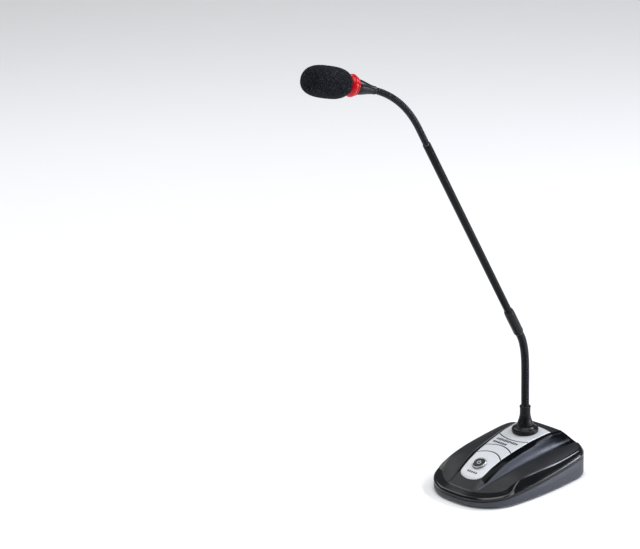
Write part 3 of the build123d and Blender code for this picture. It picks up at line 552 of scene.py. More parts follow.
def along_base(y, inside):
    """The place to read the stations at: y, but near the nose the distance from the rim."""
    frontness = np.clip((-18.0 - y) / 34.0, 0, 1)
    frontness = frontness * frontness * (3 - 2 * frontness)
    return y + (np.minimum(NOSE + inside, y) - y) * frontness


def roof_over_lip(x, along):
    """Height of the plate, scoop or deck above the level of the lip's top."""
    centre, plate_x, plate_z, spine_x, spine_z, valley_x, valley_z, deck_z = stations_at(along)
    plate = centre + (plate_z - centre) * np.clip(x / plate_x, 0, 1) ** 2
    t = np.clip((x - plate_x) / (spine_x - plate_x), 0, 1)
    spine = plate_z + (spine_z - plate_z) * t**1.7
    t = np.clip((x - spine_x) / (valley_x - spine_x), 0, 1)
    scoop = spine_z + (valley_z - spine_z) * (1 - (1 - t) ** 1.7)
    t = (x - valley_x) / (DECK_X - valley_x)
    crown = DECK_CROWN * np.clip((valley_z - 12.5) / 6.0, 0, 1)
    bowed = np.clip(t, 0, 1)
    deck = valley_z + (deck_z - valley_z) * t + crown * 4 * bowed * (1 - bowed)
    beside = np.where(x < valley_x, scoop, deck)
    roof = np.where(x < plate_x, plate, np.where(x < spine_x, spine, beside))
    return roof - lip_top(along)


def top_height(x, y):
    """Height of the top surface, in mm, at plan position x, y."""
    x, y = np.abs(np.asarray(x, float)), np.asarray(y, float)
    inside = inside_by(x, y)
    roof = roof_over_lip(x, along_base(y, inside))
    height = lip_top(y) + np.maximum(soft_min(roof, SHOULDER_SLOPE * inside, EASE), 0)
    return height - 1.0 * np.clip(1 - inside / 2.0, 0, 1) ** 2


def finish_zones(x, y):
    """How far each point belongs to the grained decks, and whether it lies in a scoop."""
    x = np.abs(x)
    inside = inside_by(x, y)
    along = along_base(y, inside)
    over_shoulder = SHOULDER_SLOPE * inside - roof_over_lip(x, along)
    band = np.interp(y, (-60.0, -45.0, -25.0, 0.0), (9.6, 7.6, 5.4, 4.2))
    on_deck = np.clip(over_shoulder / 0.8 + 1.2, 0, 1) * np.clip((inside - band) / 0.8, 0, 1)
    _, _, _, spine_x, _, valley_x, _, _ = stations_at(along)
    return on_deck, (x > spine_x - 0.3) & (x < valley_x - 0.2) & (along > CREASE_Y + 3)


# %% Build the upper shell
SHELL_WALL = 2.2
ZONES = (10, 6, 9, 18, 16)  # columns in the plate, the spine's edge, the scoop, the deck, the band
BAND_WIDTH = 9.5


def shell_columns(y, half):
    """The x of every column at one station, from the centre to the rim."""
    _, plate_x, _, spine_x, _, valley_x, _, _ = stations_at(y)
    band_x = half - BAND_WIDTH
    marks = [0.0, float(plate_x), float(spine_x), float(valley_x), band_x, half]
    fit = min(1.0, half / (marks[3] + BAND_WIDTH + 8.0))
    marks = [m * fit for m in marks[:4]]
    marks += [max(band_x, marks[3] + (half - marks[3]) * 0.4), half]
    xs = []
    for zone, (start, end) in enumerate(zip(marks, marks[1:])):
        shares = np.arange(ZONES[zone]) / ZONES[zone]
        if zone == len(ZONES) - 1:
            shares = 1 - (1 - shares) ** 1.6
        xs += list(start + (end - start) * shares)
    return np.array(xs + [half])


def mesh_object(name, vertices, faces, material, scale=MM):
    """A mesh object at the origin, its vertices given in mm."""
    mesh = bpy.data.meshes.new(name)
    mesh.from_pydata([tuple(float(c) * scale for c in v) for v in vertices], [], faces)
    mesh.materials.append(material)
    mesh.update()
    made = bpy.data.objects.new(name, mesh)
    bpy.context.scene.collection.objects.link(made)
    return made


def grid_faces(rows, columns, first=0, flip=False):
    """The quads of a grid of points whose first one has the index first."""
    faces = []
    for r in range(rows - 1):
        for c in range(columns - 1):
            a = first + r * columns + c
            quad = (a, a + 1, a + columns + 1, a + columns)
            faces.append(quad[::-1] if flip else quad)
    return faces


def grid_border(rows, columns):
    """The points round a grid's edge, walked once."""
    return (
        list(range(columns))
        + [r * columns + columns - 1 for r in range(1, rows)]
        + [(rows - 1) * columns + c for c in range(columns - 2, -1, -1)]
        + [r * columns for r in range(rows - 2, 0, -1)]
    )


half_columns = sum(ZONES) + 1
columns = 2 * half_columns - 1
plan = []
for half, y in rim[1:-1]:
    xs = shell_columns(y, half)
    xs = np.concatenate([-xs[:0:-1], xs])
    plan.append(np.column_stack([xs, np.full(columns, y)]))
plan = np.array(plan)
rows = len(plan)
heights = top_height(plan[..., 0], plan[..., 1])
outer = np.dstack([plan, heights]).reshape(-1, 3)
shrink = np.array([(HALF_WIDTH - SHELL_WALL) / HALF_WIDTH, (REAR - SHELL_WALL) / REAR, 1.0])
inner = outer * shrink - np.array([0, 0, SHELL_WALL + 0.4])

edge = grid_border(rows, columns)
# level down the lip and inset in mm: the last steps cut the parting groove over the lower shell
lip_levels = [(0.9, 0.0), (0.55, 0.0), (0.27, 0.0), (0.22, 0.1), (0.2, 0.9), (0.0, 0.9)]
vertices = list(outer)
for level, inset in lip_levels:
    for index in edge:
        x, y, z = outer[index]
        low = PARTING_Z + PARTING_SLOPE * (y - NOSE)
        size = 1 - inset / HALF_WIDTH
        vertices.append((x * size, y * size, low + (z - low) * level))
inner_first = len(vertices)
vertices += list(inner)
inner_bottom_first = len(vertices)
for index in edge:
    x, y, z = inner[index]
    vertices.append((x, y, PARTING_Z + PARTING_SLOPE * (y - NOSE)))

faces = grid_faces(rows, columns) + grid_faces(rows, columns, inner_first, flip=True)
rings = [edge]
for level in range(len(lip_levels)):
    rings.append([len(outer) + level * len(edge) + i for i in range(len(edge))])
rings.append([inner_bottom_first + i for i in range(len(edge))])
rings.append([inner_first + index for index in edge])
for upper, lower in zip(rings, rings[1:]):
    for i in range(len(edge)):
        j = (i + 1) % len(edge)
        faces.append((upper[i], lower[i], lower[j], upper[j]))
shell = mesh_object("upper_shell_skin", vertices, faces, abs_black)
shell.data.shade_smooth()
print("upper shell", len(shell.data.polygons), "faces")

# %% [markdown]
# The grained decks end where the polished band begins, so each point gets the share of "satin"
# that its distance from the rim asks for. The scoops beside the spine get "scoop", the share of
# their painted reflection, which fades out to the rear as "matt" takes over. The strip beside the
# plate is matt too.

# %% Mark the finish on the shell
on_deck, in_scoop = finish_zones(outer[:, 0], outer[:, 1])
painted_reflection_share = np.clip((52.0 - outer[:, 1]) / 40.0, 0, 1)  # the painted reflection in the scoops fades out to the rear
unmarked = np.zeros(len(shell.data.vertices) - len(outer))
_, plate_x, _, spine_x, _, _, _, _ = stations_at(outer[:, 1])
beside_plate = (np.abs(outer[:, 0]) > plate_x) & (np.abs(outer[:, 0]) < spine_x)
beside_plate &= outer[:, 1] > -46
on_deck = np.where(in_scoop | beside_plate, 0, on_deck)
matt = np.where(beside_plate, 1.0, in_scoop * (1 - painted_reflection_share))
for mark, share in (("satin", on_deck), ("scoop", in_scoop * painted_reflection_share), ("matt", matt)):
    attribute = shell.data.attributes.new(mark, "FLOAT", "POINT")
    attribute.data.foreach_set("value", np.concatenate([share, unmarked]).astype(np.float32))
print("satin on", int((on_deck > 0.5).sum()), "of", len(outer), "outer points")

# %% [markdown]
# ## Holes for the button and the neck
# The skin is opened where the button's frame and the neck's stud pass through it. A cutter made
# by the turning function below is subtracted with a Boolean modifier, which is then applied.

# %% Turned pieces
def across_axes(direction):
    """Two directions square to an axis, the first one as near to X as can be."""
    side = (Vector((1, 0, 0)) - direction * direction.x).normalized()
    return side, direction.cross(side).normalized()


def rounded(profile, radius=0.3, steps=4):
    """A profile with each inner corner replaced by a small arc-like curve."""
    points = [np.array(p, float) for p in profile]
    out = [points[0]]
    for before, corner, after in zip(points, points[1:], points[2:]):
        reach_in, reach_out = np.linalg.norm(before - corner), np.linalg.norm(after - corner)
        reach = min(radius, 0.45 * reach_in, 0.45 * reach_out)
        start = corner + (before - corner) / reach_in * reach
        end = corner + (after - corner) / reach_out * reach
        for t in np.linspace(0, 1, steps):
            out.append((1 - t) ** 2 * start + 2 * t * (1 - t) * corner + t**2 * end)
    return out + [points[-1]]


def turned(name, origin, direction, profile, material, segments=72):
    """A turned piece: profile holds (distance along the axis, radius) in mm, and ends on the axis
    or is a closed loop. Equal first and last points close the loop."""
    direction = Vector(direction).normalized()
    side, other = across_axes(direction)
    origin = Vector(origin) / MM
    closed = np.allclose(profile[0], profile[-1])
    points = profile[:-1] if closed else profile
    vertices, rings = [], []
    for distance, radius in points:
        centre = origin + direction * float(distance)
        if radius < 1e-4:
            rings.append([len(vertices)] * segments)
            vertices.append(centre)
            continue
        rings.append(list(range(len(vertices), len(vertices) + segments)))
        for i in range(segments):
            a = 2 * math.pi * i / segments
            vertices.append(centre + (side * math.cos(a) + other * math.sin(a)) * float(radius))
    faces = []
    pairs = list(zip(rings, rings[1:])) + ([(rings[-1], rings[0])] if closed else [])
    for lower, upper in pairs:
        for i in range(segments):
            j = (i + 1) % segments
            corners = [lower[i], lower[j], upper[j], upper[i]]
            corners = [c for k, c in enumerate(corners) if c not in corners[:k]]
            if len(corners) > 2:
                faces.append(corners)
    made = mesh_object(name, vertices, faces, material)
    work = bmesh.new()
    work.from_mesh(made.data)
    bmesh.ops.recalc_face_normals(work, faces=work.faces)
    work.to_mesh(made.data)
    work.free()
    made.data.shade_smooth()
    return made


def apply_modifiers(made):
    """Turns what the modifiers give into the object's plain mesh."""
    graph = bpy.context.evaluated_depsgraph_get()
    mesh = bpy.data.meshes.new_from_object(made.evaluated_get(graph))
    made.modifiers.clear()
    made.data = mesh
    return made


def cut_out(made, *cutters):
    for cutter in cutters:
        modifier = made.modifiers.new("cut", "BOOLEAN")
        modifier.operation = "DIFFERENCE"
        modifier.solver = "EXACT"
        modifier.object = cutter
        apply_modifiers(made)
    return made


# %% Open the skin
press = joints["power_press"]
button_axis = -Vector(press["axis"])
button_spot = (0.0, -0.0328, 0.0270)  # where the button's axis meets the top surface
BUTTON_HOLE_R = 6.0
lower_joint = Vector(joints["lower_pitch"]["pos_m"])
neck_foot = (0.0, lower_joint.y, 0.0)
UP = (0, 0, 1)
button_cutter = turned(
    "cut_button",
    button_spot,
    button_axis,
    [(-9, 0), (-9, BUTTON_HOLE_R), (9, BUTTON_HOLE_R), (9, 0)],
    abs_black,
)
STUD_HOLE_R = 4.2
stud_cutter = turned(
    "cut_stud", neck_foot, UP, [(28, 0), (28, STUD_HOLE_R), (60, STUD_HOLE_R), (60, 0)], abs_black
)
cut_out(shell, button_cutter, stud_cutter)
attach(shell, "base")
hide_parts("upper_shell")
print("upper shell after cutting", len(shell.data.polygons), "faces")

# %% [markdown]
# ## Faceplate
# The plate is a tongue of aluminium that follows the spine. Three fine arcs are engraved across
# it. Its grid has rows that lie along those arcs, so each engraving is a real dip a few rows
# wide, and its edge turns down in a small bevel that catches the light.

# %% Faceplate
# y at the sides, and how far in front of them the middle lies
PLATE_FRONT, PLATE_REAR = (-45.5, 4.0), (43.5, -3.5)
PLATE_HALF_FRONT, PLATE_HALF_REAR = 12.6, 19.4
ENGRAVED = [(16.2, -20.6, -14.3), (17.0, -7.6, -2.6), (19.2, 14.3, 9.7)]
PROUD, BEVEL = 0.5, 0.45
ENGRAVE_HALF, ENGRAVE_DEPTH = 0.7, 0.45


def plate_half_width(y):
    return np.interp(
        y, [PLATE_FRONT[0], PLATE_REAR[0]], [PLATE_HALF_FRONT, PLATE_HALF_REAR]
    )


# each row is an arc: y at the middle, y at the sides
arc_rows, depth_rows = [], []
marks = [(PLATE_FRONT[0] - PLATE_FRONT[1], PLATE_FRONT[0])]
marks += [(middle, ends) for _, ends, middle in ENGRAVED]
marks += [(PLATE_REAR[0] - PLATE_REAR[1], PLATE_REAR[0])]
for number, (low, high) in enumerate(zip(marks, marks[1:])):
    low, high = np.array(low), np.array(high)
    starts_engraved, ends_engraved = number > 0, number < len(marks) - 2
    if starts_engraved:
        for offset, depth in ((-1, 0), (-0.85, 1), (0.85, 1), (1, 0)):
            arc_rows.append(low + offset * ENGRAVE_HALF)
            depth_rows.append(depth * ENGRAVE_DEPTH)
    margin = 1.6 * ENGRAVE_HALF
    start = low + (margin if starts_engraved else 0)
    end = high - (margin if ends_engraved else 0)
    count = max(6, int(np.abs(end - start).max() / 1.2))
    for share in np.linspace(0, 1, count):
        arc_rows.append(start + (end - start) * share)
        depth_rows.append(0.0)

ACROSS = np.concatenate([[-1.0, -0.985], np.linspace(-0.965, 0.965, 33), [0.985, 1.0]])
NOSE_ROUND = 4.5
plate_points, plate_groove = [], []
for (middle_y, side_y), depth in zip(arc_rows, depth_rows):
    forward = np.clip((side_y - PLATE_FRONT[0]) / NOSE_ROUND, 0, 1)
    # the tongue's front corners are rounded: the rows shorten towards the front
    narrowing = 0.74 + 0.26 * (1 - (1 - forward) ** 2.4) ** (1 / 2.4)
    half = plate_half_width(side_y) * narrowing
    for u in ACROSS:
        x = u * half
        y = middle_y + (side_y - middle_y) * (x / half) ** 2 * narrowing**2
        plate_points.append((x, y))
        plate_groove.append(depth)
plate_points = np.array(plate_points)
plate_rows, plate_columns = len(arc_rows), len(ACROSS)
surface = top_height(plate_points[:, 0], plate_points[:, 1])
edge_drop = np.zeros((plate_rows, plate_columns))
edge_drop[:, 0] = edge_drop[:, -1] = BEVEL
edge_drop[:, 1] = edge_drop[:, -2] = 0.12
edge_drop[0, :] = edge_drop[-1, :] = BEVEL
edge_drop = edge_drop.reshape(-1)
groove_depth = np.array(plate_groove)
groove_depth = np.where(edge_drop > 0.2, 0, groove_depth)
top = np.column_stack([plate_points, surface + PROUD - np.maximum(edge_drop, groove_depth)])
under = np.column_stack([plate_points, surface - 0.6])
vertices = list(top) + list(under)
count = len(top)
faces = grid_faces(plate_rows, plate_columns) + grid_faces(
    plate_rows, plate_columns, count, flip=True
)
border = grid_border(plate_rows, plate_columns)
for i, a in enumerate(border):
    b = border[(i + 1) % len(border)]
    faces.append((a, a + count, b + count, b))
plate = mesh_object("faceplate_engraved", vertices, faces, plate_metal)
# each point's groove depth as a 0 to 1 share, which the material paints near-black as painted
# shade
attribute = plate.data.attributes.new("groove", "FLOAT", "POINT")
attribute.data.foreach_set(
    "value", np.concatenate([groove_depth / ENGRAVE_DEPTH, np.zeros(count)]).astype(np.float32)
)
cut_out(plate, button_cutter, stud_cutter)
plate.data.shade_smooth()
plate.data.set_sharp_from_angle(angle=math.radians(35))
for cutter in (button_cutter, stud_cutter):
    bpy.data.objects.remove(cutter)
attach(plate, "base")
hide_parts("faceplate")
print("faceplate", len(plate.data.polygons), "faces")

# %% [markdown]
# ## Printed marks
# The plate has two lines of small print behind the button and another in front of it. They are
# drawn here as plain bars of different heights, like a level meter, and two rows of dashes. Each
# bar is a thin slab that follows the plate's surface.

# %% Printed marks
PRINT_THICK = 0.05


def printed_bars(name, bars, material):
    """Bars are (x, y, width, height) on the plate, in mm."""
    vertices, faces = [], []
    for x, y, width, height in bars:
        xs = np.linspace(x - width / 2, x + width / 2, 3)
        ys = np.linspace(y - height / 2, y + height / 2, 3)
        first = len(vertices)
        for lift in (PROUD + PRINT_THICK, PROUD - 0.05):
            for py in ys:
                for px in xs:
                    vertices.append((px, py, float(top_height(px, py)) + lift))
        faces += grid_faces(3, 3, first) + grid_faces(3, 3, first + 9, flip=True)
        ring = [0, 1, 2, 5, 8, 7, 6, 3]
        for i, a in enumerate(ring):
            b = ring[(i + 1) % len(ring)]
            faces.append((first + a, first + a + 9, first + b + 9, first + b))
    made = mesh_object(name, vertices, faces, material)
    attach(made, "base")
    return made


METER_HEIGHTS = (2.6, 3.2, 3.9, 2.9, 4.2, 3.5, 4.1, 2.8, 3.8, 3.2, 2.6)
METER_LEFT, METER_Y, METER_PITCH, METER_WIDTH = -11.6, 5.9, 2.25, 1.6
meter = [
    (METER_LEFT + METER_PITCH * i, METER_Y, METER_WIDTH, height)
    for i, height in enumerate(METER_HEIGHTS)
]
meter += [(METER_LEFT + 0.2 + 2.7 * i, 0.5, 2.1, 2.7) for i in range(6)]
dashes = [((i - 2) * 2.4, -42.8, 1.7, 1.9) for i in range(5)]
printed_bars("print_level_meter", meter, print_dark)
printed_bars("print_dashes", dashes, print_dark)
print("printed bars", len(meter) + len(dashes))

# %% [markdown]
# ## Foot of the neck, sleeve, tube and collar
# These are turned pieces. Each profile is a short list of distances and radii along the piece's
# axis. Rounding the corners of the profile before turning gives the edges a radius, and a small
# radius is what draws the thin bright line on a real edge.

# %% Foot of the neck
FLANGE_LOW, FLANGE_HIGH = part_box("neck_flange")[0].z / MM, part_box("neck_flange")[1].z / MM
BOOT_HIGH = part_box("neck_boot")[1].z / MM
plate_top = FLANGE_HIGH - 6.3
flange_profile = [
    (FLANGE_LOW + 0.2, 4.3),
    (FLANGE_LOW + 0.2, 12.0),
    (plate_top + 1.4, 12.2),
    (plate_top + 2.6, 12.5),
    (plate_top + 3.9, 11.7),
    (plate_top + 4.5, 10.2),
    (FLANGE_HIGH - 1.2, 9.4),
    (FLANGE_HIGH, 8.2),
    (FLANGE_HIGH, 4.3),
]
profile = rounded(flange_profile, 0.9)
flange = turned("neck_flange_turned", neck_foot, UP, profile + [profile[0]], abs_satin, 96)
boot_profile = [
    (FLANGE_HIGH + 0.05, 4.3),
    (FLANGE_HIGH + 0.05, 7.6),
    (FLANGE_HIGH + 1.2, 7.6),
    (FLANGE_HIGH + 3.5, 6.8),
    (FLANGE_HIGH + 6.5, 5.8),
    (FLANGE_HIGH + 10.0, 5.05),
    (FLANGE_HIGH + 12.0, 4.95),
    (BOOT_HIGH - 6.4, 4.95),
    (BOOT_HIGH - 6.2, 4.75),
    (BOOT_HIGH - 5.9, 4.75),
    (BOOT_HIGH - 5.7, 4.95),
    (BOOT_HIGH - 1.6, 4.95),
    (BOOT_HIGH - 1.4, 5.2),
    (BOOT_HIGH - 0.4, 5.2),
    (BOOT_HIGH, 4.9),
    (BOOT_HIGH, 4.3),
]
profile = rounded(boot_profile, 0.4)
boot = turned("neck_boot_turned", neck_foot, UP, profile + [profile[0]], abs_satin, 96)
for made, node in ((flange, "neck_flange"), (boot, "neck_boot")):
    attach(made, "base")
    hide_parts(node)

# %% Sleeve and tube
def joint_places(prefix):
    """Where one neck's joints are, from its root to its end."""
    return [Vector(j["pos_m"]) for j in frame["joints"] if j["name"].startswith(prefix)]


lower_places, upper_places = joint_places("lower_"), joint_places("upper_")
tube_line = (upper_places[0] - lower_places[-1]).normalized()
link_length = (lower_places[1] - lower_places[0]).length
sleeve_start = lower_places[-1] + tube_line * link_length
reach = (upper_places[0] - sleeve_start).length / MM
SLEEVE_LENGTH, SLEEVE_R, TUBE_R = 29.3, 4.7, 3.5
sleeve_profile = [
    (-0.5, 3.0),
    (-0.5, SLEEVE_R - 0.7),
    (0.6, SLEEVE_R - 0.1),
    (1.4, SLEEVE_R),
    (2.6, SLEEVE_R),
    (2.8, SLEEVE_R - 0.22),
    (3.2, SLEEVE_R - 0.22),
    (3.4, SLEEVE_R),
    (SLEEVE_LENGTH - 5.2, SLEEVE_R),
    (SLEEVE_LENGTH - 5.0, SLEEVE_R - 0.22),
    (SLEEVE_LENGTH - 4.6, SLEEVE_R - 0.22),
    (SLEEVE_LENGTH - 4.4, SLEEVE_R - 0.02),
    (SLEEVE_LENGTH - 1.6, SLEEVE_R - 0.35),
    (SLEEVE_LENGTH - 0.4, TUBE_R + 0.5),
    (SLEEVE_LENGTH, TUBE_R + 0.1),
    (SLEEVE_LENGTH, 3.0),
]
profile = rounded(sleeve_profile, 0.5)
sleeve = turned(
    "coupling_sleeve_turned", sleeve_start, tube_line, profile + [profile[0]], abs_satin, 72
)
tube_profile = [
    (SLEEVE_LENGTH - 4.8, 2.9),
    (SLEEVE_LENGTH - 4.8, TUBE_R),
    (60.0, TUBE_R),
    (120.0, TUBE_R),
    (180.0, TUBE_R),
    (reach - 2.2, TUBE_R),
    (reach - 2.0, TUBE_R - 0.15),
    (reach - 1.7, TUBE_R - 0.15),
    (reach - 1.5, TUBE_R),
    (reach - 0.8, TUBE_R),
    (reach - 0.3, TUBE_R - 0.35),
    (reach - 0.3, 2.9),
]
profile = rounded(tube_profile, 0.3)
tube = turned("mid_tube_turned", sleeve_start, tube_line, profile + [profile[0]], lacquer, 72)
for made, node in ((sleeve, "coupling_sleeve"), (tube, "mid_tube")):
    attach(made, "tube")
    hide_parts(node)
print("the straight tube is", round(reach - SLEEVE_LENGTH, 1), "mm long outside its sleeve")

# %% Head: collar and ring
head_start = upper_places[-1]
head_line = Vector(joints["windscreen_pull"]["axis"]).normalized()
COLLAR_LENGTH = 20.2
collar_profile = [
    (0.7, 2.5),
    (0.7, 3.25),
    (1.2, 3.5),
    (3.6, 3.58),
    (6.5, 4.1),
    (10.0, 4.9),
    (13.0, 5.7),
    (16.0, 6.35),
    (18.5, 6.65),
    (COLLAR_LENGTH, 6.7),
    (COLLAR_LENGTH, 4.6),
    (12.0, 2.5),
]
profile = rounded(collar_profile, 1.2)
collar = turned("head_collar_turned", head_start, head_line, profile + [profile[0]], abs_satin, 96)
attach(collar, "head")
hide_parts("head_collar")

R0 = 18.62  # where the ring's hidden rear face is
RING_FRONT = R0 + 9.9
RING_BACK = COLLAR_LENGTH + 0.02
ring_profile = [
    (RING_BACK, 4.9),
    (RING_BACK, 7.5),
    (RING_BACK + 0.3, 8.1),
    (RING_BACK + 1.2, 8.15),
    (RING_BACK + 1.6, 7.7),
    (RING_BACK + 2.0, 8.4),
    (RING_BACK + 2.8, 9.4),
    (R0 + 5.8, 9.85),
    (R0 + 7.2, 9.6),
    (R0 + 8.6, 8.9),
    (RING_FRONT - 0.3, 7.8),
    (RING_FRONT, 7.0),
    (RING_FRONT, 6.25),
    (R0 + 2.6, 6.25),
    (R0 + 2.6, 4.9),
]
profile = rounded(ring_profile, 0.7)
ring = turned("light_ring_turned", head_start, head_line, profile + [profile[0]], ring_red, 128)
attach(ring, "head")
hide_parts("light_ring")
print("head axis", tuple(round(c, 3) for c in head_line))

# %% [markdown]
# ## Wound necks
# A gooseneck is a steel spring with a second wire wound into its groove: it bends and stays. What
# shows is a helix of round crowns. It follows a path, so Geometry Nodes make it: a curve becomes
# a tube, each point learns how far along the path and how far round it is, and its radius dips
# between one turn and the next. The result is cut at the middle of each working link into pieces
# that together follow the curve without a break.

# %% Start and end of a node tree
def new_tree(name, lengths, counts=()):
    """A node tree with named inputs: geometry, lengths in metres, counts and a material."""
    tree = bpy.data.node_groups.new(name, "GeometryNodeTree")
    face = tree.interface
    face.new_socket("Geometry", in_out="INPUT", socket_type="NodeSocketGeometry")
    for kind, sizes in (("NodeSocketFloat", lengths), ("NodeSocketInt", counts)):
        for label, default in sizes:
            socket = face.new_socket(label, in_out="INPUT", socket_type=kind)
            socket.default_value = default
    face.new_socket("Material", in_out="INPUT", socket_type="NodeSocketMaterial")
    face.new_socket("Geometry", in_out="OUTPUT", socket_type="NodeSocketGeometry")
    return tree, add(tree, "NodeGroupInput").outputs


def end_tree(tree, geometry, material):
    """Makes instances real, gives the material and links the result to the output."""
    real = add(tree, "GeometryNodeRealizeInstances", {"Geometry": geometry})
    finished = add(
        tree,
        "GeometryNodeSetMaterial",
        {"Geometry": real.outputs["Geometry"], "Material": material},
    )
    add(tree, "NodeGroupOutput", {"Geometry": finished.outputs["Geometry"]})
    return tree


# %% Ribbed hose node tree
def vector_node(tree, operation, first, second, output="Vector"):
    return add(
        tree, "ShaderNodeVectorMath", {0: first, 1: second}, operation=operation
    ).outputs[output]


def ribbed_hose_tree():
    lengths = (("Radius", 0.0038), ("Rib Pitch", 0.002), ("Rib Depth", 0.0006), ("Step", 0.0003))
    tree, given = new_tree("ribbed_hose", lengths, (("Sides", 36),))
    path = add(
        tree,
        "GeometryNodeResampleCurve",
        {"Curve": given["Geometry"], "Length": given["Step"]},
        mode="LENGTH",
    )
    length = add(tree, "GeometryNodeSplineParameter").outputs["Length"]
    centre = add(tree, "GeometryNodeInputPosition").outputs[0]
    tangent = add(tree, "GeometryNodeInputTangent").outputs[0]
    kept = path.outputs["Curve"]
    captured = []
    for value, kind in ((length, "FLOAT"), (centre, "VECTOR"), (tangent, "VECTOR")):
        store = add(tree, "GeometryNodeCaptureAttribute")
        store.capture_items.new(kind, "kept")
        tree.links.new(kept, store.inputs["Geometry"])
        tree.links.new(value, store.inputs[1])
        kept = store.outputs["Geometry"]
        captured.append(store.outputs[1])
    along, middle, ahead = captured
    circle = add(
        tree,
        "GeometryNodeCurvePrimitiveCircle",
        {"Resolution": given["Sides"], "Radius": given["Radius"]},
    )
    skin = add(
        tree,
        "GeometryNodeCurveToMesh",
        {"Curve": kept, "Profile Curve": circle.outputs["Curve"], "Fill Caps": False},
    )
    # how far round the tube: the angle between the point and the level direction
    place = add(tree, "GeometryNodeInputPosition").outputs[0]
    outward = vector_node(tree, "SUBTRACT", place, middle)
    other = vector_node(tree, "CROSS_PRODUCT", ahead, (1.0, 0.0, 0.0))
    level = add(tree, "ShaderNodeSeparateXYZ", {0: outward}).outputs["X"]
    lift = vector_node(tree, "DOT_PRODUCT", outward, other, "Value")
    turn = math_node(tree, "DIVIDE", math_node(tree, "ARCTAN2", lift, level), 2 * math.pi)
    # where the point is between one groove (0) and the next (1)
    turns = math_node(tree, "ADD", math_node(tree, "DIVIDE", along, given["Rib Pitch"]), turn)
    within = math_node(tree, "FRACT", turns)
    off_crown = math_node(tree, "SUBTRACT", math_node(tree, "MULTIPLY", within, 2.0), 1.0)
    sag = math_node(tree, "SUBTRACT", 1.0, math_node(tree, "MULTIPLY", off_crown, off_crown))
    crown = math_node(tree, "SQRT", sag)
    dip = math_node(tree, "MULTIPLY", math_node(tree, "SUBTRACT", 1.0, crown), given["Rib Depth"])
    share = math_node(tree, "DIVIDE", dip, given["Radius"])
    scale = math_node(tree, "SUBTRACT", 1.0, share)
    scaled = add(tree, "ShaderNodeVectorMath", {0: outward, "Scale": scale}, operation="SCALE")
    moved = add(
        tree,
        "GeometryNodeSetPosition",
        {
            "Geometry": skin.outputs["Mesh"],
            "Position": vector_node(tree, "ADD", middle, scaled.outputs["Vector"]),
        },
    )
    named = add(
        tree,
        "GeometryNodeStoreNamedAttribute",
        {"Geometry": moved.outputs["Geometry"], "Name": "along", "Value": along},
        data_type="FLOAT",
        domain="POINT",
    )
    smooth = add(tree, "GeometryNodeSetShadeSmooth", {"Geometry": named.outputs["Geometry"]})
    return end_tree(tree, smooth.outputs["Geometry"], given["Material"])


def with_nodes(made, tree, values):
    """Adds a Geometry Nodes modifier and sets its inputs by their sockets' identifiers."""
    modifier = made.modifiers.new(tree.name, "NODES")
    modifier.node_group = tree
    sockets = {
        item.name: item.identifier
        for item in tree.interface.items_tree
        if item.item_type == "SOCKET" and item.in_out == "INPUT"
    }
    for label, value in values.items():
        modifier[sockets[label]] = value
    return made


ribbed_hose = ribbed_hose_tree()
print("node tree", ribbed_hose.name, "with", len(ribbed_hose.nodes), "nodes")

# %% [markdown]
# A working neck is straight between its joints, and a real one is one even curve. So the path is
# a Catmull-Rom curve: it passes through every joint and turns smoothly on the way.

# %% Smooth path through the working joints
def smooth_path(places, start_direction, end_direction, tail):
    """A curve through the joints, with a short straight tail at each end, as dense points."""
    knots = [places[0] - start_direction * tail, *places, places[-1] + end_direction * tail]
    path = []
    for i in range(len(knots) - 1):
        before = knots[i - 1] if i else knots[0] * 2 - knots[1]
        after = knots[i + 2] if i + 2 < len(knots) else knots[-1] * 2 - knots[-2]
        a, b = knots[i], knots[i + 1]
        for t in np.linspace(0, 1, 12, endpoint=False):
            t = float(t)
            path.append(
                0.5
                * (
                    2 * a
                    + (b - before) * t
                    + (2 * before - 5 * a + 4 * b - after) * t**2
                    + (3 * a - before - 3 * b + after) * t**3
                )
            )
    return path + [knots[-1]]


def path_object(name, path):
    curve = bpy.data.curves.new(name, "CURVE")
    curve.dimensions = "3D"
    spline = curve.splines.new("POLY")
    spline.points.add(len(path) - 1)
    for point, place in zip(spline.points, path):
        point.co = (*place, 1.0)
    made = bpy.data.objects.new(name, curve)
    bpy.context.scene.collection.objects.link(made)
    return made


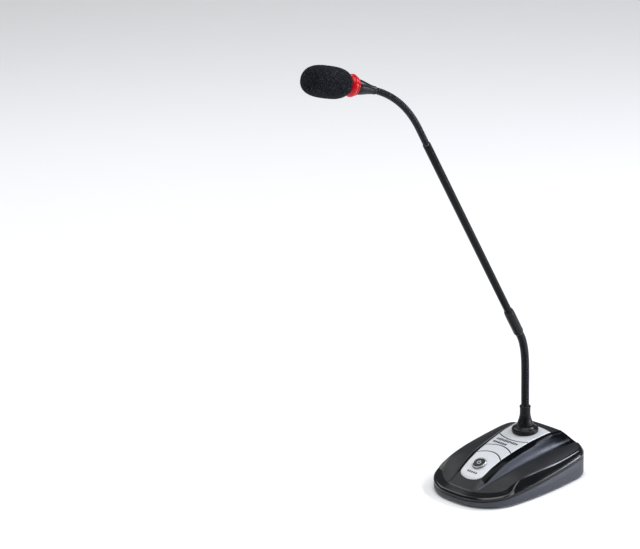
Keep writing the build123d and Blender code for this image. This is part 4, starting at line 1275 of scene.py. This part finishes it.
def wound_neck(name, places, path, replaced, radius, pitch, depth):
    """Makes one whole neck, cuts it at the links' middles, and hides the working links it
    replaces.
    """
    guide = with_nodes(
        path_object(name, path),
        ribbed_hose,
        {
            "Radius": radius * MM,
            "Rib Pitch": pitch * MM,
            "Rib Depth": depth * MM,
            "Step": pitch * MM / 7,
            "Sides": 36,
            "Material": wound_steel,
        },
    )
    graph = bpy.context.evaluated_depsgraph_get()
    whole = bpy.data.meshes.new_from_object(guide.evaluated_get(graph))
    bpy.data.objects.remove(guide)
    along = np.zeros(len(whole.vertices), np.float32)
    whole.attributes["along"].data.foreach_get("value", along)
    steps = np.cumsum([0.0] + [(b - a).length for a, b in zip(path, path[1:])])
    knots = [places[0]] + [(a + b) / 2 for a, b in zip(places, places[1:])] + [places[-1]]
    reached = [float(steps[int(np.argmin([(p - k).length for p in path]))]) for k in knots]
    cuts = [-1.0] + reached[1:-1] + [1e3]
    normals = [tuple(n.vector) for n in whole.vertex_normals]
    corners = [tuple(v.co) for v in whole.vertices]
    polygons = [tuple(p.vertices) for p in whole.polygons]
    middles = [float(along[list(p)].mean()) for p in polygons]
    made_pieces = []
    for number, (low, high) in enumerate(zip(cuts, cuts[1:])):
        chosen = [p for p, m in zip(polygons, middles) if low <= m < high]
        used = sorted({v for p in chosen for v in p})
        order = {v: i for i, v in enumerate(used)}
        piece = mesh_object(
            f"{name}_{number + 1:02d}",
            [corners[v] for v in used],
            [tuple(order[v] for v in p) for p in chosen],
            wound_steel,
            1.0,
        )
        piece.data.shade_smooth()
        piece.data.normals_split_custom_set_from_vertices([normals[v] for v in used])
        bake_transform(piece)
        made_pieces.append(piece)
    for piece, node in zip(made_pieces, replaced):
        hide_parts(node)
    print(name, len(made_pieces), "pieces,", len(polygons), "faces")
    return made_pieces


# %% [markdown]
# The lower neck is the thicker of the two and has the coarser winding. Each has one more body
# than it has joints.

# %% The two necks
lower_nodes = [f"lower_neck_{i:02d}" for i in range(1, 10)] + ["lower_neck_end"]
lower_path = smooth_path(lower_places, Vector(UP), tube_line, link_length)
wound_neck(
    "wound_neck_lower", lower_places, lower_path, lower_nodes, 3.85, 2.1, 0.75
)
upper_nodes = [f"upper_neck_{i:02d}" for i in range(1, 13)]
upper_path = smooth_path(upper_places, tube_line, head_line, 3.0 * MM)
wound_neck(
    "wound_neck_upper", upper_places, upper_path, upper_nodes, 2.95, 1.5, 0.55
)

# %% [markdown]
# ## Foam windscreen
# The windscreen is a moulded oval of foam that slips over the capsule. The oval is a rounded
# ellipse, a little squarer than a true one. Real foam has no smooth skin, so a second node tree
# moves each point in or out by a cell pattern, which roughens the silhouette as well as the face.
# Soft foam also sags: the outer skin hangs a few degrees below the line of its hole.

# %% Foam skin tree
def foam_skin_tree():
    tree, given = new_tree("foam_skin", (("Cell Size", 0.0009), ("Depth", 0.0003)))
    place = add(tree, "GeometryNodeInputPosition").outputs[0]
    pattern = add(
        tree,
        "ShaderNodeTexVoronoi",
        {"Vector": place, "Scale": math_node(tree, "DIVIDE", 1.0, given["Cell Size"])},
    ).outputs["Distance"]
    height = math_node(tree, "SUBTRACT", pattern, 0.55)
    reach = math_node(tree, "MULTIPLY", height, given["Depth"])
    normal = add(tree, "GeometryNodeInputNormal").outputs[0]
    offset = add(tree, "ShaderNodeVectorMath", {0: normal, "Scale": reach}, operation="SCALE")
    moved = add(
        tree,
        "GeometryNodeSetPosition",
        {"Geometry": given["Geometry"], "Offset": offset.outputs["Vector"]},
    )
    return end_tree(tree, moved.outputs["Geometry"], given["Material"])


# %% Foam windscreen
FOAM_R, FOAM_BACK, FOAM_LENGTH, FOAM_BULGE = 13.5, R0 + 7.6, 44.0, 2.8
FOAM_DROOP = math.tan(math.radians(3.5))
FOAM_ROWS, FOAM_SEGMENTS = 190, 300
FOAM_MOUTH = RING_FRONT + 0.1
GRILLE_R, GRILLE_END = 6.6, R0 + 2.5 + 28.0
profile = []
for share in np.linspace(0, 1, FOAM_ROWS):
    # rows crowd towards the ends, where the surface turns quickly
    eased = (share + 0.5 - 0.5 * math.cos(math.pi * share)) / 2
    radius = FOAM_R * (1 - abs(2 * eased - 1) ** FOAM_BULGE) ** (1 / FOAM_BULGE)
    profile.append((FOAM_BACK + FOAM_LENGTH * eased, 0.0 if share == 1 else radius))
profile = [p for p in profile if p[0] > FOAM_MOUTH + 0.15]
hollow = [
    (GRILLE_END + 0.8, 0.0),
    (GRILLE_END + 0.8, GRILLE_R + 0.2),
    *[(FOAM_MOUTH + d, GRILLE_R + 0.2) for d in np.linspace(19, 0, 12)],
]
foam = turned(
    "foam_windscreen_skin", head_start, head_line, hollow + profile, foam_black, FOAM_SEGMENTS
)
droop = (head_line * head_line.z - Vector(UP)).normalized()
for vertex in foam.data.vertices:
    out = vertex.co - head_start
    along = out.dot(head_line)
    if (out - head_line * along).length > (GRILLE_R + 0.3) * MM or along > (GRILLE_END + 1) * MM:
        vertex.co += droop * FOAM_DROOP * (along - FOAM_MOUTH * MM)
with_nodes(
    foam,
    foam_skin_tree(),
    {"Cell Size": 0.95 * MM, "Depth": 0.3 * MM, "Material": foam_black},
)
apply_modifiers(foam)
foam.data.shade_smooth()
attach(foam, "windscreen")
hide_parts("foam_windscreen")
print("foam", len(foam.data.polygons), "faces")

# %% [markdown]
# ## Working pieces that keep their own shape
# The shells' underside, the feet, the screws, the button and its frame, and everything inside
# are already right in the working model. A copy has its loose triangles joined, flat areas made
# whole, and its edges given a small bevel, which the bare triangles lack.

# %% Refine the working pieces
FINISHES = {
    "lower_shell": (abs_grey, 0.35),
    "battery_door": (abs_grey, 0.2),
    "rubber_feet": (rubber, 0.3),
    "button_bezel": (steel, 0.12),
    "power_button": (abs_satin, 0.1),
    "power_mark": (print_white, 0.03),
    "power_switch": (abs_satin, 0.2),
    "main_board": (board_mask, 0.1),
    "board_parts": (abs_satin, 0.2),
    "board_screws": (steel, 0.15),
    "case_screws": (steel, 0.2),
    "battery_cell_1": (None, 0.3),
    "battery_cell_2": (None, 0.3),
    "contact_plates": (chrome, 0.08),
    "contact_springs": (chrome, 0.0),
    "output_socket": (abs_satin, 0.2),
    "ballast_plate": (iron, 0.4),
    "ballast_screws": (steel, 0.2),
    "neck_stud": (steel, 0.2),
    "neck_washer": (steel, 0.12),
    "neck_nut": (steel, 0.3),
    "neck_root": (steel, 0.1),
    "tube_plug": (steel, 0.1),
    "light_board": (board_mask, 0.1),
    "capsule_grille": (steel, 0.15),
    "mic_capsule": (steel, 0.15),
    "capsule_gasket": (rubber, 0.1),
}
CELL_FACING = {"battery_cell_1": 1, "battery_cell_2": -1}


def refined(node, material, bevel_mm):
    """A copy of a working piece with whole flats, beveled edges and its own material."""
    source = nodes[node]
    mesh = source.data.copy()
    mesh.name = node + "_refined"
    mesh.materials.clear()
    mesh.materials.append(material)
    work = bmesh.new()
    work.from_mesh(mesh)
    bmesh.ops.remove_doubles(work, verts=work.verts, dist=1e-6)
    bmesh.ops.dissolve_limit(
        work, angle_limit=math.radians(0.4), verts=work.verts, edges=work.edges
    )
    work.to_mesh(mesh)
    work.free()
    made = bpy.data.objects.new(node + "_refined", mesh)
    bpy.context.scene.collection.objects.link(made)
    if bevel_mm:
        bevel = made.modifiers.new("edge radius", "BEVEL")
        bevel.width = bevel_mm * MM
        bevel.segments = 2
        bevel.limit_method = "ANGLE"
        bevel.angle_limit = math.radians(32)
        apply_modifiers(made)
    made.data.shade_smooth()
    made.data.set_sharp_from_angle(angle=math.radians(34))
    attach(made, source["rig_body"])
    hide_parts(node)
    return made


for node, (material, bevel_mm) in FINISHES.items():
    if material is None:
        material = cell_jacket(node, CELL_FACING[node])
    refined(node, material, bevel_mm)
still_shown = [name for name, made in nodes.items() if not made.hide_render]
print("working pieces refined:", len(FINISHES), "- still shown as they are:", still_shown)

# %% [markdown]
# ## Floor and light
# A wide pale floor fills the view, since the camera looks down on it. Daylight comes from a sun
# with a very wide disc, like a bright patch of overcast sky. A panel lights the left side, and
# narrower windows and strips behind and beside the base draw the highlights in its scoops and
# along its rim. The standard view transform keeps the floor near white and the mouldings dark.

# %% Floor
floor_paint, tree, shader = new_material("studio_floor", "#F7F7F8", ior=1.45)
tree.links.new(spread(tree, grain(tree, 60.0), 0.1, 0.16), shader.inputs["Roughness"])
floor = mesh_object(
    "floor", [(-4, -4, 0), (4, -4, 0), (4, 4, 0), (-4, 4, 0)], [(0, 1, 2, 3)], floor_paint, 1.0
)
floor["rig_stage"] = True

# %% Lights
world = bpy.data.worlds.new("studio")
bpy.context.scene.world = world
world.use_nodes = True
world.node_tree.nodes["Background"].inputs["Color"].default_value = linear("#E9EDF2")
world.node_tree.nodes["Background"].inputs["Strength"].default_value = 0.2


def soft_light(name, place, target, size, power, colour="#FFFFFF"):
    """A rectangle of light that faces its target, its size in metres and its power in watts."""
    data = bpy.data.lights.new(name, "AREA")
    data.shape = "RECTANGLE"
    data.size, data.size_y = size
    data.energy = power
    data.color = linear(colour)[:3]
    made = bpy.data.objects.new(name, data)
    made.location = place
    made.rotation_euler = (Vector(target) - Vector(place)).to_track_quat("-Z", "Y").to_euler()
    bpy.context.scene.collection.objects.link(made)
    made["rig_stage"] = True
    return made


soft_light("left_panel", (-1.29, 0.2, 1.38), (0, 0, 0.03), (1.0, 0.9), 7.0)
soft_light("rear_right_window", (0.63, 1.08, 1.29), (0, 0, 0.03), (0.7, 0.35), 18.0, "#E2E8F5")
soft_light("right_strip", (1.5, 1.3, 0.32), (0, 0, 0.1), (1.0, 0.15), 12.0, "#EEF2FF")
soft_light("front_right_strip", (1.75, 0.15, 0.85), (0, 0, 0.2), (0.4, 0.8), 9.0)
soft_light("front_left_strip", (-0.5, -1.6, 0.8), (0, 0, 0.2), (0.6, 0.35), 6.0)
daylight = bpy.data.lights.new("high_daylight", "SUN")
daylight.energy = 1.95
daylight.angle = math.radians(45)
high_daylight = bpy.data.objects.new("high_daylight", daylight)
high_daylight.rotation_euler = (math.radians(6), math.radians(8), 0)
bpy.context.scene.collection.objects.link(high_daylight)
high_daylight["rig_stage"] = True
bpy.context.scene.view_settings.view_transform = "Standard"

# %% Extent of the finished model
low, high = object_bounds()
print("the finished model reaches from", tuple(low), "to", tuple(high))
